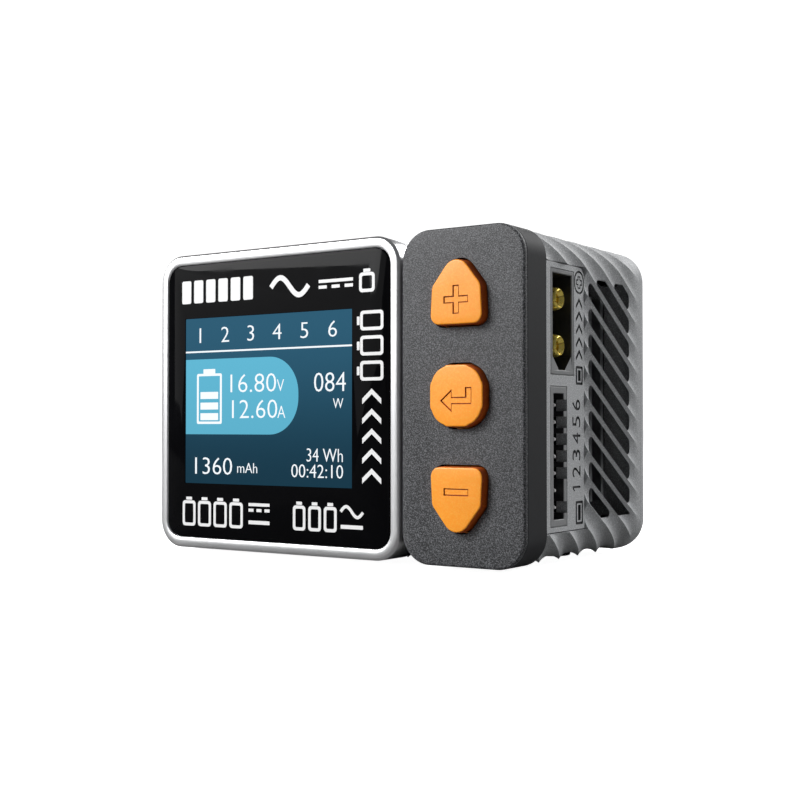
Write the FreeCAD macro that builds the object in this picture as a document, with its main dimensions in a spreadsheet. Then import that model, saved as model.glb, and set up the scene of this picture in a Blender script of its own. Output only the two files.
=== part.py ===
import FreeCAD, Part
import math
import os
import re
import Sketcher

# A small balance battery charger: a square display module and a keypad slab stand side by side in
# front of a ribbed housing. The battery sockets are on its right side, the supply sockets on its
# left, and the mains inlet and the fan are at the rear.
# Millimetres. +Z is up, the front faces -Y, and the origin is on the floor under the middle.

SIZES = {
    # front slabs
    "bezel_width": 49.0, "bezel_height": 48.8, "bezel_radius": 4.5, "bezel_depth": 6.5,
    "bezel_setback": 1.3, "bezel_rim": 1.75, "bezel_ledge": 1.4, "glass_thickness": 1.1,
    "glass_radius": 3.0, "lcd_width": 34.6, "lcd_height": 27.4, "lcd_shift": 1.55,
    "lcd_border": 2.0, "lcd_thickness": 1.6, "backlight_thickness": 1.1, "slab_gap": 1.3,
    "keypad_width": 20.5, "keypad_height": 48.6, "keypad_depth": 6.5, "keypad_radius": 4.6,
    "keypad_wall": 1.2, "faceplate_thickness": 0.8,
    # buttons: pitch, outline and travel
    "button_pitch": 14.75, "button_shift": 0.15, "button_rise": 0.1, "button_width": 8.9,
    "button_lean": 0.3, "button_base": 4.7, "button_apex": 6.2, "roof_angle": 52.0,
    "button_rounding": 1.5, "apex_rounding": 2.4, "enter_width": 9.0, "enter_rounding": 3.0,
    "button_proud": 1.3, "button_travel": 0.3, "button_clearance": 0.15, "flange_width": 0.6,
    "flange_thickness": 0.8, "glyph_depth": 0.3, "glyph_width": 4.1, "glyph_stroke": 1.05,
    "glyph_shift": 1.1, "arrow_drop": 0.7,
    "plunger_radius": 0.8, "plunger_length": 1.1, "plunger_clearance": 0.08,
    "switch_width": 4.2, "switch_thickness": 1.7,
    # housing
    "body_depth": 43.0, "housing_radius": 5.0, "housing_wall": 1.6, "rear_thickness": 4.0,
    "rear_rounding": 3.5,
    "foot_height": 0.8, "foot_radius": 3.0, "foot_inset": 12.0, "post_radius": 3.2,
    "post_length": 9.0, "post_inset": 4.7, "screw_radius": 1.0, "screw_head_radius": 1.9,
    "screw_head_height": 1.1, "screw_length": 8.0,
    # ventilation slots
    "vent_start": 20.0, "vent_length": 14.9, "vent_height": 36.8, "vent_pitch": 3.89,
    "vent_angle": 31.4, "vent_width": 2.45, "vent_shift": 0.5,
    # side panels and their sockets
    "panel_end": 19.8, "panel_height": 39.4, "panel_recess": 0.6, "panel_flange": 0.8,
    "panel_lip": 0.6, "panel_clearance": 0.05,
    "socket_depth": 7.4, "socket_height": 15.4, "socket_length": 14.0, "socket_wall": 0.6,
    "socket_bevel": 2.1, "socket_floor": 2.4, "output_start": 8.85, "output_rise": 11.0,
    "input_start": 9.7, "input_rise": 10.5, "contact_radius": 1.7, "contact_pitch": 6.9,
    "contact_recess": 0.4, "contact_slit": 0.5,
    "header_start": 8.7, "header_depth": 5.2, "header_height": 20.3, "header_length": 9.8,
    "header_wall": 1.0, "header_floor": 2.8, "header_drop": 8.6, "pin_pitch": 2.48,
    "pin_width": 0.64, "pin_recess": 0.6, "notch_width": 1.7,
    "usb_start": 11.75, "usb_depth": 3.2, "usb_height": 8.9, "usb_length": 7.4,
    "usb_wall": 0.35, "usb_drop": 11.5, "tongue_thickness": 0.7, "tongue_width": 6.6,
    # boards and what they carry
    "board_thickness": 1.6, "thin_board": 1.0, "main_board_height": 42.0,
    "main_board_margin": 0.5,
    "spacer_radius": 2.3, "spacer_span_x": 28.0, "spacer_span_z": 34.0, "spacer_shift": 3.0,
    "power_board_width": 46.0, "power_board_length": 20.0, "power_board_gap": 4.5,
    "power_board_lift": 6.6, "power_board_shift": 9.0, "power_foot_inset": 7.5,
    "heatsink_height": 32.0, "heatsink_base": 2.4, "heatsink_reach": 10.5, "fin_count": 4,
    "fin_pitch": 4.1, "fin_thickness": 0.9, "heatsink_start": 18.6, "heatsink_gap": 1.6,
    "transformer_width": 20.0, "transformer_length": 10.5, "transformer_height": 16.5,
    "transformer_wall": 3.2, "transformer_leg": 5.0, "coil_bulge": 1.2,
    "capacitor_radius": 4.6, "capacitor_height": 18.0, "capacitor_spacing": 11.5,
    "choke_radius": 4.0, "choke_bore": 1.8, "choke_height": 8.5,
    "filter_width": 9.0, "filter_length": 7.0, "filter_height": 10.5, "fuse_radius": 2.0,
    "fuse_length": 6.5, "inductor_width": 9.5, "inductor_height": 4.2, "chip_width": 7.0,
    "chip_height": 1.0, "buzzer_radius": 4.5, "buzzer_height": 4.2, "buzzer_hole": 1.0,
    "mosfet_height": 6.0, "mosfet_thickness": 1.4, "mosfet_length": 9.4, "mosfet_spacing": 9.0,
    "ribbon_width": 12.0, "ribbon_thickness": 0.3, "ribbon_drop": 14.0,
    "ribbon_clearance": 0.8,
    # rear: mains inlet and fan
    "inlet_width": 20.0, "inlet_height": 11.5, "inlet_length": 14.0, "inlet_bore": 3.9,
    "inlet_pin_pitch": 8.6, "inlet_pin_radius": 1.2, "inlet_floor": 3.0, "inlet_lip": 1.2,
    "inlet_shift": 20.0, "inlet_rise": 9.0, "inlet_pin_recess": 2.0, "lead_radius": 0.7,
    "fan_size": 30.0, "fan_depth": 8.0, "fan_hole_inset": 3.0, "fan_wall": 1.4,
    "fan_shift": 14.0, "fan_gap": 1.0, "fan_seat": 1.5,
    "blade_gap": 0.5, "rotor_hub": 5.6, "rotor_depth": 5.0, "blade_count": 7,
    "blade_angle": 38.0, "blade_thickness": 0.8, "blade_width": 5.4, "motor_base": 1.3,
    "strut_width": 1.8, "shaft_radius": 0.75, "shaft_clearance": 0.05, "bearing_radius": 2.0,
    "bearing_length": 2.6, "hub_clearance": 0.3, "grille_ring": 1.3, "grille_gap": 1.7,
    "grille_spoke": 1.6, "grille_hub": 3.4,
    # cutters run past what they cut by this much
    "overrun": 1.0,
}

# sizes that follow from others
FOLLOWING = {
    "power_board_start": "=body_depth - power_board_gap - power_board_length",
    "fan_bore": "=fan_size / 2 - fan_wall",
    "rotor_radius": "=fan_size / 2 - fan_wall - blade_gap",
    "fan_hole_pitch": "=fan_size - 2 * fan_hole_inset",
    "fan_rise": "=housing_wall + power_board_lift + board_thickness + fan_gap + fan_size / 2"
                " - keypad_height / 2",
}

doc = FreeCAD.newDocument("balance_charger")
sheet = doc.addObject("Spreadsheet::Sheet", "Sizes")
for row, (alias, value) in enumerate({**SIZES, **FOLLOWING}.items(), start=1):
    sheet.set(f"A{row}", alias)
    sheet.set(f"B{row}", str(value))
    sheet.setAlias(f"B{row}", alias)
doc.recompute()

X_AXIS, Y_AXIS, Z_AXIS = FreeCAD.Vector(1, 0, 0), FreeCAD.Vector(0, 1, 0), FreeCAD.Vector(0, 0, 1)
TURNS = {
    "x": FreeCAD.Rotation(Y_AXIS, 90),
    "y": FreeCAD.Rotation(X_AXIS, -90),
    "z": FreeCAD.Rotation(),
}
MATHS = {"tan", "cos", "sin", "deg"}

# Places that many pieces share, as expressions of the sheet's cells.
WIDTH = "(bezel_width + slab_gap + keypad_width)"
FACE = "((button_proud - body_depth) / 2)"
REAR = "((button_proud + body_depth) / 2)"
RIGHT = f"({WIDTH} / 2)"
FLOOR = "foot_height"
MIDDLE = "(foot_height + keypad_height / 2)"
TOP = "(foot_height + keypad_height)"
BEZEL_X = "(-(slab_gap + keypad_width) / 2)"
KEYPAD_X = "((bezel_width + slab_gap) / 2)"
BEZEL_BACK = "(bezel_setback + bezel_depth)"
COVER_FRONT = f"({REAR} - rear_thickness)"
INSIDE_RIGHT = f"({RIGHT} - housing_wall)"
BUTTON_X = f"({KEYPAD_X} - button_shift)"
MAIN_FRONT = "(output_start + socket_depth)"

pieces = []


# ---------------------------------------------------------------- document helpers

def sized(text):
    """Names the sheet in front of every alias of an expression."""
    return re.sub(r"[a-z]\w*", lambda word: word.group() if word.group() in MATHS
                  else "Sizes." + word.group(), text)


def bind(thing, **expressions):
    """Binds properties to the sheet; a double underscore stands for the dot of a path."""
    for path, text in expressions.items():
        thing.setExpression(path.replace("__", "."), sized(text))


def place(thing, at, turn=None):
    """Sets the rotation and binds the position."""
    if turn is not None:
        thing.Placement = FreeCAD.Placement(FreeCAD.Vector(), turn)
    bind(thing, Placement__Base__x=at[0], Placement__Base__y=at[1], Placement__Base__z=at[2])


def behind(depth):
    """The Y of something that lies this far behind the keypad's face."""
    return f"({FACE} + {depth})"


def edges_along(shape, direction):
    """The names of a shape's straight edges that run along a direction."""
    names = []
    for number, edge in enumerate(shape.Edges, start=1):
        span = edge.Vertexes[-1].Point - edge.Vertexes[0].Point
        if span.Length > 1e-6 and span.cross(direction).Length < 1e-6 * span.Length:
            names.append(f"Edge{number}")
    return names


def box(name, low, size):
    """A plain box from its low corner."""
    block = doc.addObject("Part::Box", name)
    bind(block, Length=size[0], Width=size[1], Height=size[2])
    place(block, low)
    return block


def box_about(name, middle, size):
    """A plain box about its middle in X and Z; its Y is where it starts."""
    low = (f"{middle[0]} - ({size[0]}) / 2", middle[1], f"{middle[2]} - ({size[2]}) / 2")
    return box(name, low, size)


def rounded_box(name, middle, size, radius):
    """A box with its edges along Y rounded, about its middle in X and Z."""
    body = doc.addObject("PartDesign::Body", name)
    block = body.newObject("PartDesign::AdditiveBox", name + "_block")
    bind(block, Length=size[0], Width=size[1], Height=size[2])
    doc.recompute()
    rounding = body.newObject("PartDesign::Fillet", name + "_rounding")
    rounding.Base = (block, edges_along(block.Shape, Y_AXIS))
    bind(rounding, Radius=radius)
    place(body, (f"{middle[0]} - ({size[0]}) / 2", middle[1], f"{middle[2]} - ({size[2]}) / 2"))
    return body


def cylinder(name, axis, at, radius, length):
    """A cylinder that starts at a point and runs along an axis."""
    rod = doc.addObject("Part::Cylinder", name)
    bind(rod, Radius=radius, Height=length)
    place(rod, at, TURNS[axis])
    return rod


def outline_pad(name, points, length, at, roundings=(), turn=None):
    """A body padded along +Y from a closed outline in X and Z, with chosen corners rounded."""
    body = doc.addObject("PartDesign::Body", name)
    sketch = body.newObject("Sketcher::SketchObject", name + "_outline")
    plane = next(item for item in body.Origin.OriginFeatures if item.Role == "XZ_Plane")
    sketch.AttachmentSupport = [(plane, "")]
    sketch.MapMode = "FlatFace"
    count = len(points)
    ring = [FreeCAD.Vector(math.cos(2 * math.pi * i / count), math.sin(2 * math.pi * i / count), 0)
            for i in range(count)]
    for i in range(count):
        sketch.addGeometry(Part.LineSegment(ring[i], ring[(i + 1) % count]), False)
    for i in range(count):
        sketch.addConstraint(Sketcher.Constraint("Coincident", i, 2, (i + 1) % count, 1))
    for i, (across, up) in enumerate(points):
        for kind, start, text in (("DistanceX", ring[i].x, across), ("DistanceY", ring[i].y, up)):
            number = sketch.addConstraint(Sketcher.Constraint(kind, i, 1, start))
            sketch.setExpression(f"Constraints[{number}]", sized(text))
    pad = body.newObject("PartDesign::Pad", name + "_pad")
    pad.Profile = sketch
    pad.Reversed = True
    bind(pad, Length=length)
    doc.recompute()
    tip = pad
    for step, (radius, corners) in enumerate(roundings):
        wanted = [sketch.Geometry[i].StartPoint for i in corners]
        chosen = []
        for edge_name in edges_along(tip.Shape, Y_AXIS):
            point = tip.Shape.getElement(edge_name).Vertexes[0].Point
            if any(abs(point.x - w.x) < 1e-4 and abs(point.z - w.y) < 1e-4 for w in wanted):
                chosen.append(edge_name)
        rounding = body.newObject("PartDesign::Fillet", f"{name}_rounding_{step}")
        rounding.Base = (tip, chosen)
        bind(rounding, Radius=radius)
        doc.recompute()
        tip = rounding
    place(body, at, turn)
    return body


def fuse(name, *parts):
    result = doc.addObject("Part::MultiFuse", name)
    result.Shapes = list(parts)
    return result


def common(name, *parts):
    result = doc.addObject("Part::MultiCommon", name)
    result.Shapes = list(parts)
    return result


def cut(name, base, *tools):
    result = doc.addObject("Part::Cut", name)
    result.Base = base
    result.Tool = tools[0] if len(tools) == 1 else fuse(name + "_cutters", *tools)
    return result


def group(name, *solids):
    """Like pieces that share one node, each its own solid."""
    result = doc.addObject("Part::Compound", name)
    result.Links = list(solids)
    return result


def piece(label, thing):
    """Labels a finished sub-part and lists it for export."""
    thing.Label = label
    pieces.append(thing)
    return thing


# ---------------------------------------------------------------- display module

def build_display():
    glass_width = "(bezel_width - 2 * bezel_rim)"
    glass_height = "(bezel_height - 2 * bezel_rim)"
    front = behind("bezel_setback")
    seat = behind("bezel_setback + glass_thickness")
    frame = rounded_box("bezel_outer", (BEZEL_X, front, MIDDLE),
                        ("bezel_width", "bezel_depth", "bezel_height"), "bezel_radius")
    glass_seat = rounded_box("bezel_seat", (BEZEL_X, f"{front} - overrun", MIDDLE),
                             (glass_width, "glass_thickness + overrun", glass_height),
                             "glass_radius")
    chamber = rounded_box("bezel_chamber", (BEZEL_X, front, MIDDLE),
                          (f"{glass_width} - 2 * bezel_ledge", "bezel_depth + overrun",
                           f"{glass_height} - 2 * bezel_ledge"), "glass_radius - bezel_ledge")
    piece("display_bezel", cut("display_bezel", frame, glass_seat, chamber))
    piece("display_glass", rounded_box("display_glass", (BEZEL_X, front, MIDDLE),
                                       (glass_width, "glass_thickness", glass_height),
                                       "glass_radius"))

    lcd_middle = f"({BEZEL_X} - lcd_shift)"
    module = ("lcd_width + 2 * lcd_border", "lcd_height + 2 * lcd_border")
    piece("lcd_panel", box_about("lcd_panel", (lcd_middle, seat, MIDDLE),
                                 (module[0], "lcd_thickness", module[1])))
    back = behind("bezel_setback + glass_thickness + lcd_thickness")
    piece("lcd_backlight", box_about("lcd_backlight", (lcd_middle, back, MIDDLE),
                                     (module[0], "backlight_thickness", module[1])))
    board = behind("bezel_setback + glass_thickness + lcd_thickness + backlight_thickness")
    piece("display_board", box_about("display_board", (lcd_middle, board, MIDDLE),
                                     (module[0], "thin_board", "lcd_height + 6 * lcd_border")))


# ---------------------------------------------------------------- keypad

def house_points(margin):
    """The five corners of a house-shaped button, grown by a margin all round."""
    half = f"(button_width / 2 + {margin})"
    shoulder_half = f"(button_width / 2 - button_lean + {margin})"
    apex = f"(button_apex + ({margin}) / cos(roof_angle * 1 deg))"
    shoulder = f"({apex} - {shoulder_half} * tan(roof_angle * 1 deg))"
    base = f"-(button_base + {margin})"
    return [(f"-{half}", base), (half, base), (shoulder_half, shoulder), ("0 * overrun", apex),
            (f"-{shoulder_half}", shoulder)]


def house_pad(name, margin, start, length, rise, turn):
    """A house-shaped block; turned over, its roof points down."""
    return outline_pad(name, house_points(margin), length, (BUTTON_X, start, rise),
                       ((f"button_rounding + {margin}", (0, 1, 2, 4)),
                        (f"apex_rounding + {margin}", (3,))), turn)


def square_pad(name, margin, start, length, rise, turn):
    """The rounded square of the middle button."""
    side = f"enter_width + 2 * ({margin})"
    return rounded_box(name, (BUTTON_X, start, rise), (side, length, side),
                       f"enter_rounding + {margin}")


UPRIGHT = FreeCAD.Rotation()
TURNED_OVER = FreeCAD.Rotation(Y_AXIS, 180)
BUTTONS = (
    ("up", house_pad, f"({MIDDLE} + button_rise + button_pitch)", UPRIGHT),
    ("enter", square_pad, f"({MIDDLE} + button_rise)", UPRIGHT),
    ("down", house_pad, f"({MIDDLE} + button_rise - button_pitch)", TURNED_OVER),
)
WALL_BACK = "(faceplate_thickness + keypad_wall)"
FLANGE_START = f"({WALL_BACK} + button_clearance)"
FLANGE_BACK = f"({FLANGE_START} + flange_thickness)"
SWITCH_FRONT = f"({FLANGE_BACK} + button_travel + button_clearance)"
SWITCH_BACK = f"({SWITCH_FRONT} + switch_thickness)"


def glyph_cutters(name, rise):
    """What is sunk into a cap: a plus, a bent arrow or a minus, nearer to the cap's root."""
    front = behind("(-button_proud) - overrun")
    rise = {"up": f"({rise} - glyph_shift)", "enter": f"({rise} - arrow_drop)",
            "down": f"({rise} + glyph_shift)"}[name]
    sunk = "glyph_depth + overrun"
    bar = box_about(f"glyph_bar_{name}", (BUTTON_X, front, rise),
                    ("glyph_width", sunk, "glyph_stroke"))
    if name == "down":
        return [bar]
    if name == "up":
        post = box_about(f"glyph_post_{name}", (BUTTON_X, front, rise),
                         ("glyph_stroke", sunk, "glyph_width"))
        return [bar, post]
    half, stroke = "glyph_width / 2", "glyph_stroke"
    arrow = outline_pad(f"glyph_arrow_{name}", [
        (f"-({half} + {stroke} / 2)", "0 * overrun"), (f"-{half} / 3", f"-{half} * 0.8"),
        (f"-{half} / 3", f"-{stroke} / 2"), (f"{half} + {stroke} / 2", f"-{stroke} / 2"),
        (f"{half} + {stroke} / 2", half), (f"{half} - {stroke} / 2", half),
        (f"{half} - {stroke} / 2", f"{stroke} / 2"), (f"-{half} / 3", f"{stroke} / 2"),
        (f"-{half} / 3", f"{half} * 0.8")], sunk, (BUTTON_X, front, rise))
    return [arrow]


def build_keypad():
    outline = ("keypad_width", "keypad_height")
    plate = rounded_box("faceplate_blank", (KEYPAD_X, FACE, MIDDLE),
                        (outline[0], "faceplate_thickness", outline[1]), "keypad_radius")
    shell = rounded_box("keypad_blank", (KEYPAD_X, behind("faceplate_thickness"), MIDDLE),
                        (outline[0], "keypad_depth - faceplate_thickness", outline[1]),
                        "keypad_radius")
    hollow = rounded_box("keypad_hollow", (KEYPAD_X, behind(WALL_BACK), MIDDLE),
                         (f"{outline[0]} - 2 * keypad_wall", "keypad_depth",
                          f"{outline[1]} - 2 * keypad_wall"), "keypad_radius - keypad_wall")
    holes = [shape(f"button_hole_{name}", "button_clearance", behind("(-overrun)"),
                   f"{WALL_BACK} + 2 * overrun", rise, turn)
             for name, shape, rise, turn in BUTTONS]
    openings = fuse("button_openings", *holes)
    piece("keypad_faceplate", cut("keypad_faceplate", plate, openings))
    piece("keypad_shell", cut("keypad_shell", shell, hollow, openings))

    for name, shape, rise, turn in BUTTONS:
        cap = shape(f"cap_{name}", "0 * overrun", behind("(-button_proud)"),
                    f"button_proud + {FLANGE_START} + flange_thickness / 2", rise, turn)
        flange = shape(f"cap_flange_{name}", "flange_width", behind(FLANGE_START),
                       "flange_thickness", rise, turn)
        whole = fuse(f"cap_whole_{name}", cap, flange)
        piece(f"button_{name}", cut(f"button_{name}", whole, *glyph_cutters(name, rise)))
        piece(f"switch_plunger_{name}",
              cylinder(f"switch_plunger_{name}", "y", (BUTTON_X, behind(FLANGE_BACK), rise),
                       "plunger_radius", "plunger_length"))
        switch = box_about(f"switch_block_{name}", (BUTTON_X, behind(SWITCH_FRONT), rise),
                           ("switch_width", "switch_thickness", "switch_width"))
        bore = cylinder(f"switch_bore_{name}", "y", (BUTTON_X, behind(FLANGE_BACK), rise),
                        "plunger_radius + plunger_clearance",
                        "plunger_length + button_travel + plunger_clearance")
        piece(f"tact_switch_{name}", cut(f"tact_switch_{name}", switch, bore))
    room = "2 * (keypad_wall + panel_clearance)"
    piece("button_board", rounded_box("button_board", (KEYPAD_X, behind(SWITCH_BACK), MIDDLE),
                                      (f"keypad_width - {room}", "thin_board",
                                       f"keypad_height - {room}"),
                                      "keypad_radius - keypad_wall"))


# ---------------------------------------------------------------- housing and covers

def vent_cutters(side):
    """Slanting slots, cut off square by a window, through one side wall.

    The left side's are the right side's turned half round about Y, as the flutes are.
    """
    outer, sign = (RIGHT, 1) if side == "right" else (f"(-{RIGHT})", -1)
    low_x = f"{outer} - housing_wall - overrun"
    reach = "2 * housing_wall + 2 * overrun"
    window = box_about(f"vent_window_{side}", (outer, behind("vent_start"), MIDDLE),
                       (reach, "vent_length", "vent_height"))
    slots = []
    count = 7
    for step in range(-count, count + 1):
        slot = doc.addObject("Part::Box", f"vent_slot_{side}_{step + count}")
        bind(slot, Length=reach, Width="4 * vent_length", Height="vent_width")
        slot.Placement = FreeCAD.Placement(FreeCAD.Vector(), FreeCAD.Rotation(-sign * X_AXIS, 1))
        bind(slot, Placement__Rotation__Angle="vent_angle")
        middle = f"({MIDDLE} + {sign} * vent_shift + {step} * vent_pitch)"
        along, across = "2 * vent_length", "vent_width / 2"
        back = f"{along} * cos(vent_angle * 1 deg) + {sign} * {across} * sin(vent_angle * 1 deg)"
        rise = f"{sign} * {along} * sin(vent_angle * 1 deg) - {across} * cos(vent_angle * 1 deg)"
        place(slot, (low_x, f"{behind('vent_start + vent_length / 2')} - ({back})",
                     f"{middle} + {rise}"))
        slots.append(slot)
    return common(f"vents_{side}", window, fuse(f"vent_slots_{side}", *slots))


def corner_places():
    """The four corners where the rear cover is screwed on."""
    for column, across in (("left", f"(post_inset - {RIGHT})"), ("right", f"({RIGHT} - post_inset)")):
        for row, up in (("low", f"({FLOOR} + post_inset)"), ("high", f"({TOP} - post_inset)")):
            yield f"{column}_{row}", across, up


def fan_corners():
    """The four corners where the fan is screwed to the rear cover."""
    for column in (-1, 1):
        for row in (-1, 1):
            yield (f"fan_{column + 1}{row + 1}", f"(fan_shift + {column} * fan_hole_pitch / 2)",
                   f"({MIDDLE} + fan_rise + {row} * fan_hole_pitch / 2)")


def screw(name, across, up):
    """A slotted screw sunk into the rear cover."""
    shank = cylinder(f"screw_shank_{name}", "y", (across, f"{REAR} - screw_length", up),
                     "screw_radius", "screw_length - screw_head_height / 2")
    head = cylinder(f"screw_head_{name}", "y", (across, f"{REAR} - screw_head_height", up),
                    "screw_head_radius", "screw_head_height - glyph_depth")
    slot = box_about(f"screw_slot_{name}", (across, f"{REAR} - 2 * glyph_depth", up),
                     ("2 * screw_radius", "overrun", "glyph_depth"))
    return cut(f"screw_{name}", fuse(f"screw_blank_{name}", shank, head), slot)


def panel_span(side):
    """Where a side panel starts: right behind the slab in front of it."""
    return "keypad_depth" if side == "right" else BEZEL_BACK


def build_housing():
    shell_depth = "body_depth - keypad_depth - rear_thickness"
    blank = rounded_box("housing_blank", ("0 * overrun", behind("keypad_depth"), MIDDLE),
                        (WIDTH, shell_depth, "keypad_height"), "housing_radius")
    hollow = rounded_box("housing_hollow", ("0 * overrun", behind(f"{BEZEL_BACK} + housing_wall"),
                                            MIDDLE),
                         (f"{WIDTH} - 2 * housing_wall", "body_depth",
                          "keypad_height - 2 * housing_wall"), "housing_radius - housing_wall")
    display_seat = box("display_seat", (f"-{RIGHT} - overrun", FACE, f"{FLOOR} - overrun"),
                       ("bezel_width + slab_gap / 2 + overrun", BEZEL_BACK,
                        "keypad_height + 2 * overrun"))
    ribbon_slot = box_about("ribbon_slot", (f"({BEZEL_X} - lcd_shift)", behind("bezel_setback"),
                                            f"({MIDDLE} - ribbon_drop)"),
                            ("ribbon_width + 2 * ribbon_clearance", "2 * bezel_depth",
                             "ribbon_thickness + 2 * ribbon_clearance"))
    socket_bay = box("socket_bay", (f"{RIGHT} - panel_recess - socket_length - panel_clearance",
                                    FACE, f"{MIDDLE} - panel_height / 2"),
                     ("socket_length + panel_recess - housing_wall + panel_clearance",
                      f"{BEZEL_BACK} + housing_wall + overrun", "panel_height"))
    windows = []
    for side in ("right", "left"):
        low_x = f"{RIGHT} - housing_wall" if side == "right" else f"-{RIGHT} - overrun"
        start = panel_span(side)
        windows.append(box(f"panel_window_{side}",
                           (low_x, behind(start), f"{MIDDLE} - panel_height / 2"),
                           ("housing_wall + overrun", f"panel_end - {start}", "panel_height")))
    walls = cut("housing_walls", blank, hollow, display_seat, ribbon_slot, socket_bay, *windows,
                vent_cutters("right"), vent_cutters("left"))
    posts, bores = [], []
    for corner, across, up in corner_places():
        start = f"{COVER_FRONT} - post_length"
        posts.append(cylinder(f"post_{corner}", "y", (across, start, up), "post_radius",
                              "post_length"))
        bores.append(cylinder(f"post_bore_{corner}", "y",
                              (across, f"{REAR} - screw_length", up), "screw_radius",
                              "screw_length + overrun"))
    piece("main_housing", cut("main_housing", fuse("housing_with_posts", walls, *posts), *bores))


def build_rear_cover():
    blank = rounded_box("rear_blank", ("0 * overrun", COVER_FRONT, MIDDLE),
                        (WIDTH, "rear_thickness", "keypad_height"), "housing_radius")
    doc.recompute()
    slab, depth = blank.Tip, SIZES["rear_thickness"]
    rim = [f"Edge{number}" for number, edge in enumerate(slab.Shape.Edges, start=1)
           if all(abs(vertex.Point.y - depth) < 1e-6 for vertex in edge.Vertexes)]
    edge_rounding = blank.newObject("PartDesign::Fillet", "rear_blank_edge")
    edge_rounding.Base = (slab, rim)
    bind(edge_rounding, Radius="rear_rounding")
    doc.recompute()
    fan_x, fan_z = "(fan_shift)", f"({MIDDLE} + fan_rise)"
    start, through = f"{COVER_FRONT} - overrun", "rear_thickness + 2 * overrun"
    rings = []
    for step in range(3):
        outer = f"grille_hub + grille_gap + {step} * (grille_ring + grille_gap)"
        disc = cylinder(f"grille_disc_{step}", "y", (fan_x, start, fan_z), outer, through)
        core = cylinder(f"grille_core_{step}", "y", (fan_x, start, fan_z),
                        f"{outer} - grille_gap", through)
        rings.append(cut(f"grille_gap_ring_{step}", disc, core))
    spokes = [box_about("grille_spoke_flat", (fan_x, start, fan_z),
                        ("fan_size", through, "grille_spoke")),
              box_about("grille_spoke_tall", (fan_x, start, fan_z),
                        ("grille_spoke", through, "fan_size"))]
    grille = cut("grille_openings", fuse("grille_rings", *rings), *spokes)
    inlet_hole = rounded_box("inlet_hole",
                             ("(-inlet_shift)", start, f"({MIDDLE} + inlet_rise)"),
                             ("inlet_width + 2 * panel_clearance", through,
                              "inlet_height + 2 * panel_clearance"), "inlet_lip")
    holes = []
    for name, across, up in [*corner_places(), *fan_corners()]:
        holes.append(cylinder(f"cover_hole_{name}", "y", (across, start, up),
                              "screw_radius", through))
        holes.append(cylinder(f"cover_sink_{name}", "y", (across, f"{REAR} - screw_head_height", up),
                              "screw_head_radius", "screw_head_height + overrun"))
    fan_room = rounded_box("fan_room", (fan_x, start, fan_z),
                           ("fan_size + 2 * panel_clearance", "overrun + fan_seat",
                            "fan_size + 2 * panel_clearance"), "inlet_lip")
    piece("rear_cover", cut("rear_cover", blank, grille, inlet_hole, fan_room, *holes))
    piece("cover_screws", group("cover_screws", *[screw(*spot) for spot in corner_places()]))
    piece("fan_screws", group("fan_screws", *[screw(*spot) for spot in fan_corners()]))


def build_feet():
    feet = []
    for column, across in (("left", f"(foot_inset - {RIGHT})"), ("right", f"({RIGHT} - foot_inset)")):
        for row, along in (("front", behind("keypad_depth + foot_inset")),
                           ("rear", f"({REAR} - foot_inset)")):
            feet.append(cylinder(f"foot_{column}_{row}", "z", (across, along, "0 * overrun"),
                                 "foot_radius", "foot_height"))
    piece("rubber_feet", group("rubber_feet", *feet))


# ---------------------------------------------------------------- side panels and sockets

def sided(side, near, length):
    """The low X of something that reaches from a depth under the side wall inwards."""
    if side == "right":
        return f"{RIGHT} - ({near}) - ({length})"
    return f"-{RIGHT} + ({near})"


def bevelled_block(name, side, near, length, middle_y, middle_z, inset):
    """A block along X whose two low corners are bevelled, as a keyed power plug's are."""
    half_y, half_z = f"(socket_depth / 2 - {inset})", f"(socket_height / 2 - {inset})"
    body = doc.addObject("PartDesign::Body", name)
    block = body.newObject("PartDesign::AdditiveBox", name + "_block")
    bind(block, Length=length, Width=f"2 * {half_y}", Height=f"2 * {half_z}")
    doc.recompute()
    low_edges = [edge for edge in edges_along(block.Shape, X_AXIS)
                 if block.Shape.getElement(edge).Vertexes[0].Point.z < 1e-6]
    bevel = body.newObject("PartDesign::Chamfer", name + "_bevel")
    bevel.Base = (block, low_edges)
    bind(bevel, Size="socket_bevel")
    place(body, (sided(side, near, length), f"{middle_y} - {half_y}", f"{middle_z} - {half_z}"))
    return body


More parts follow.
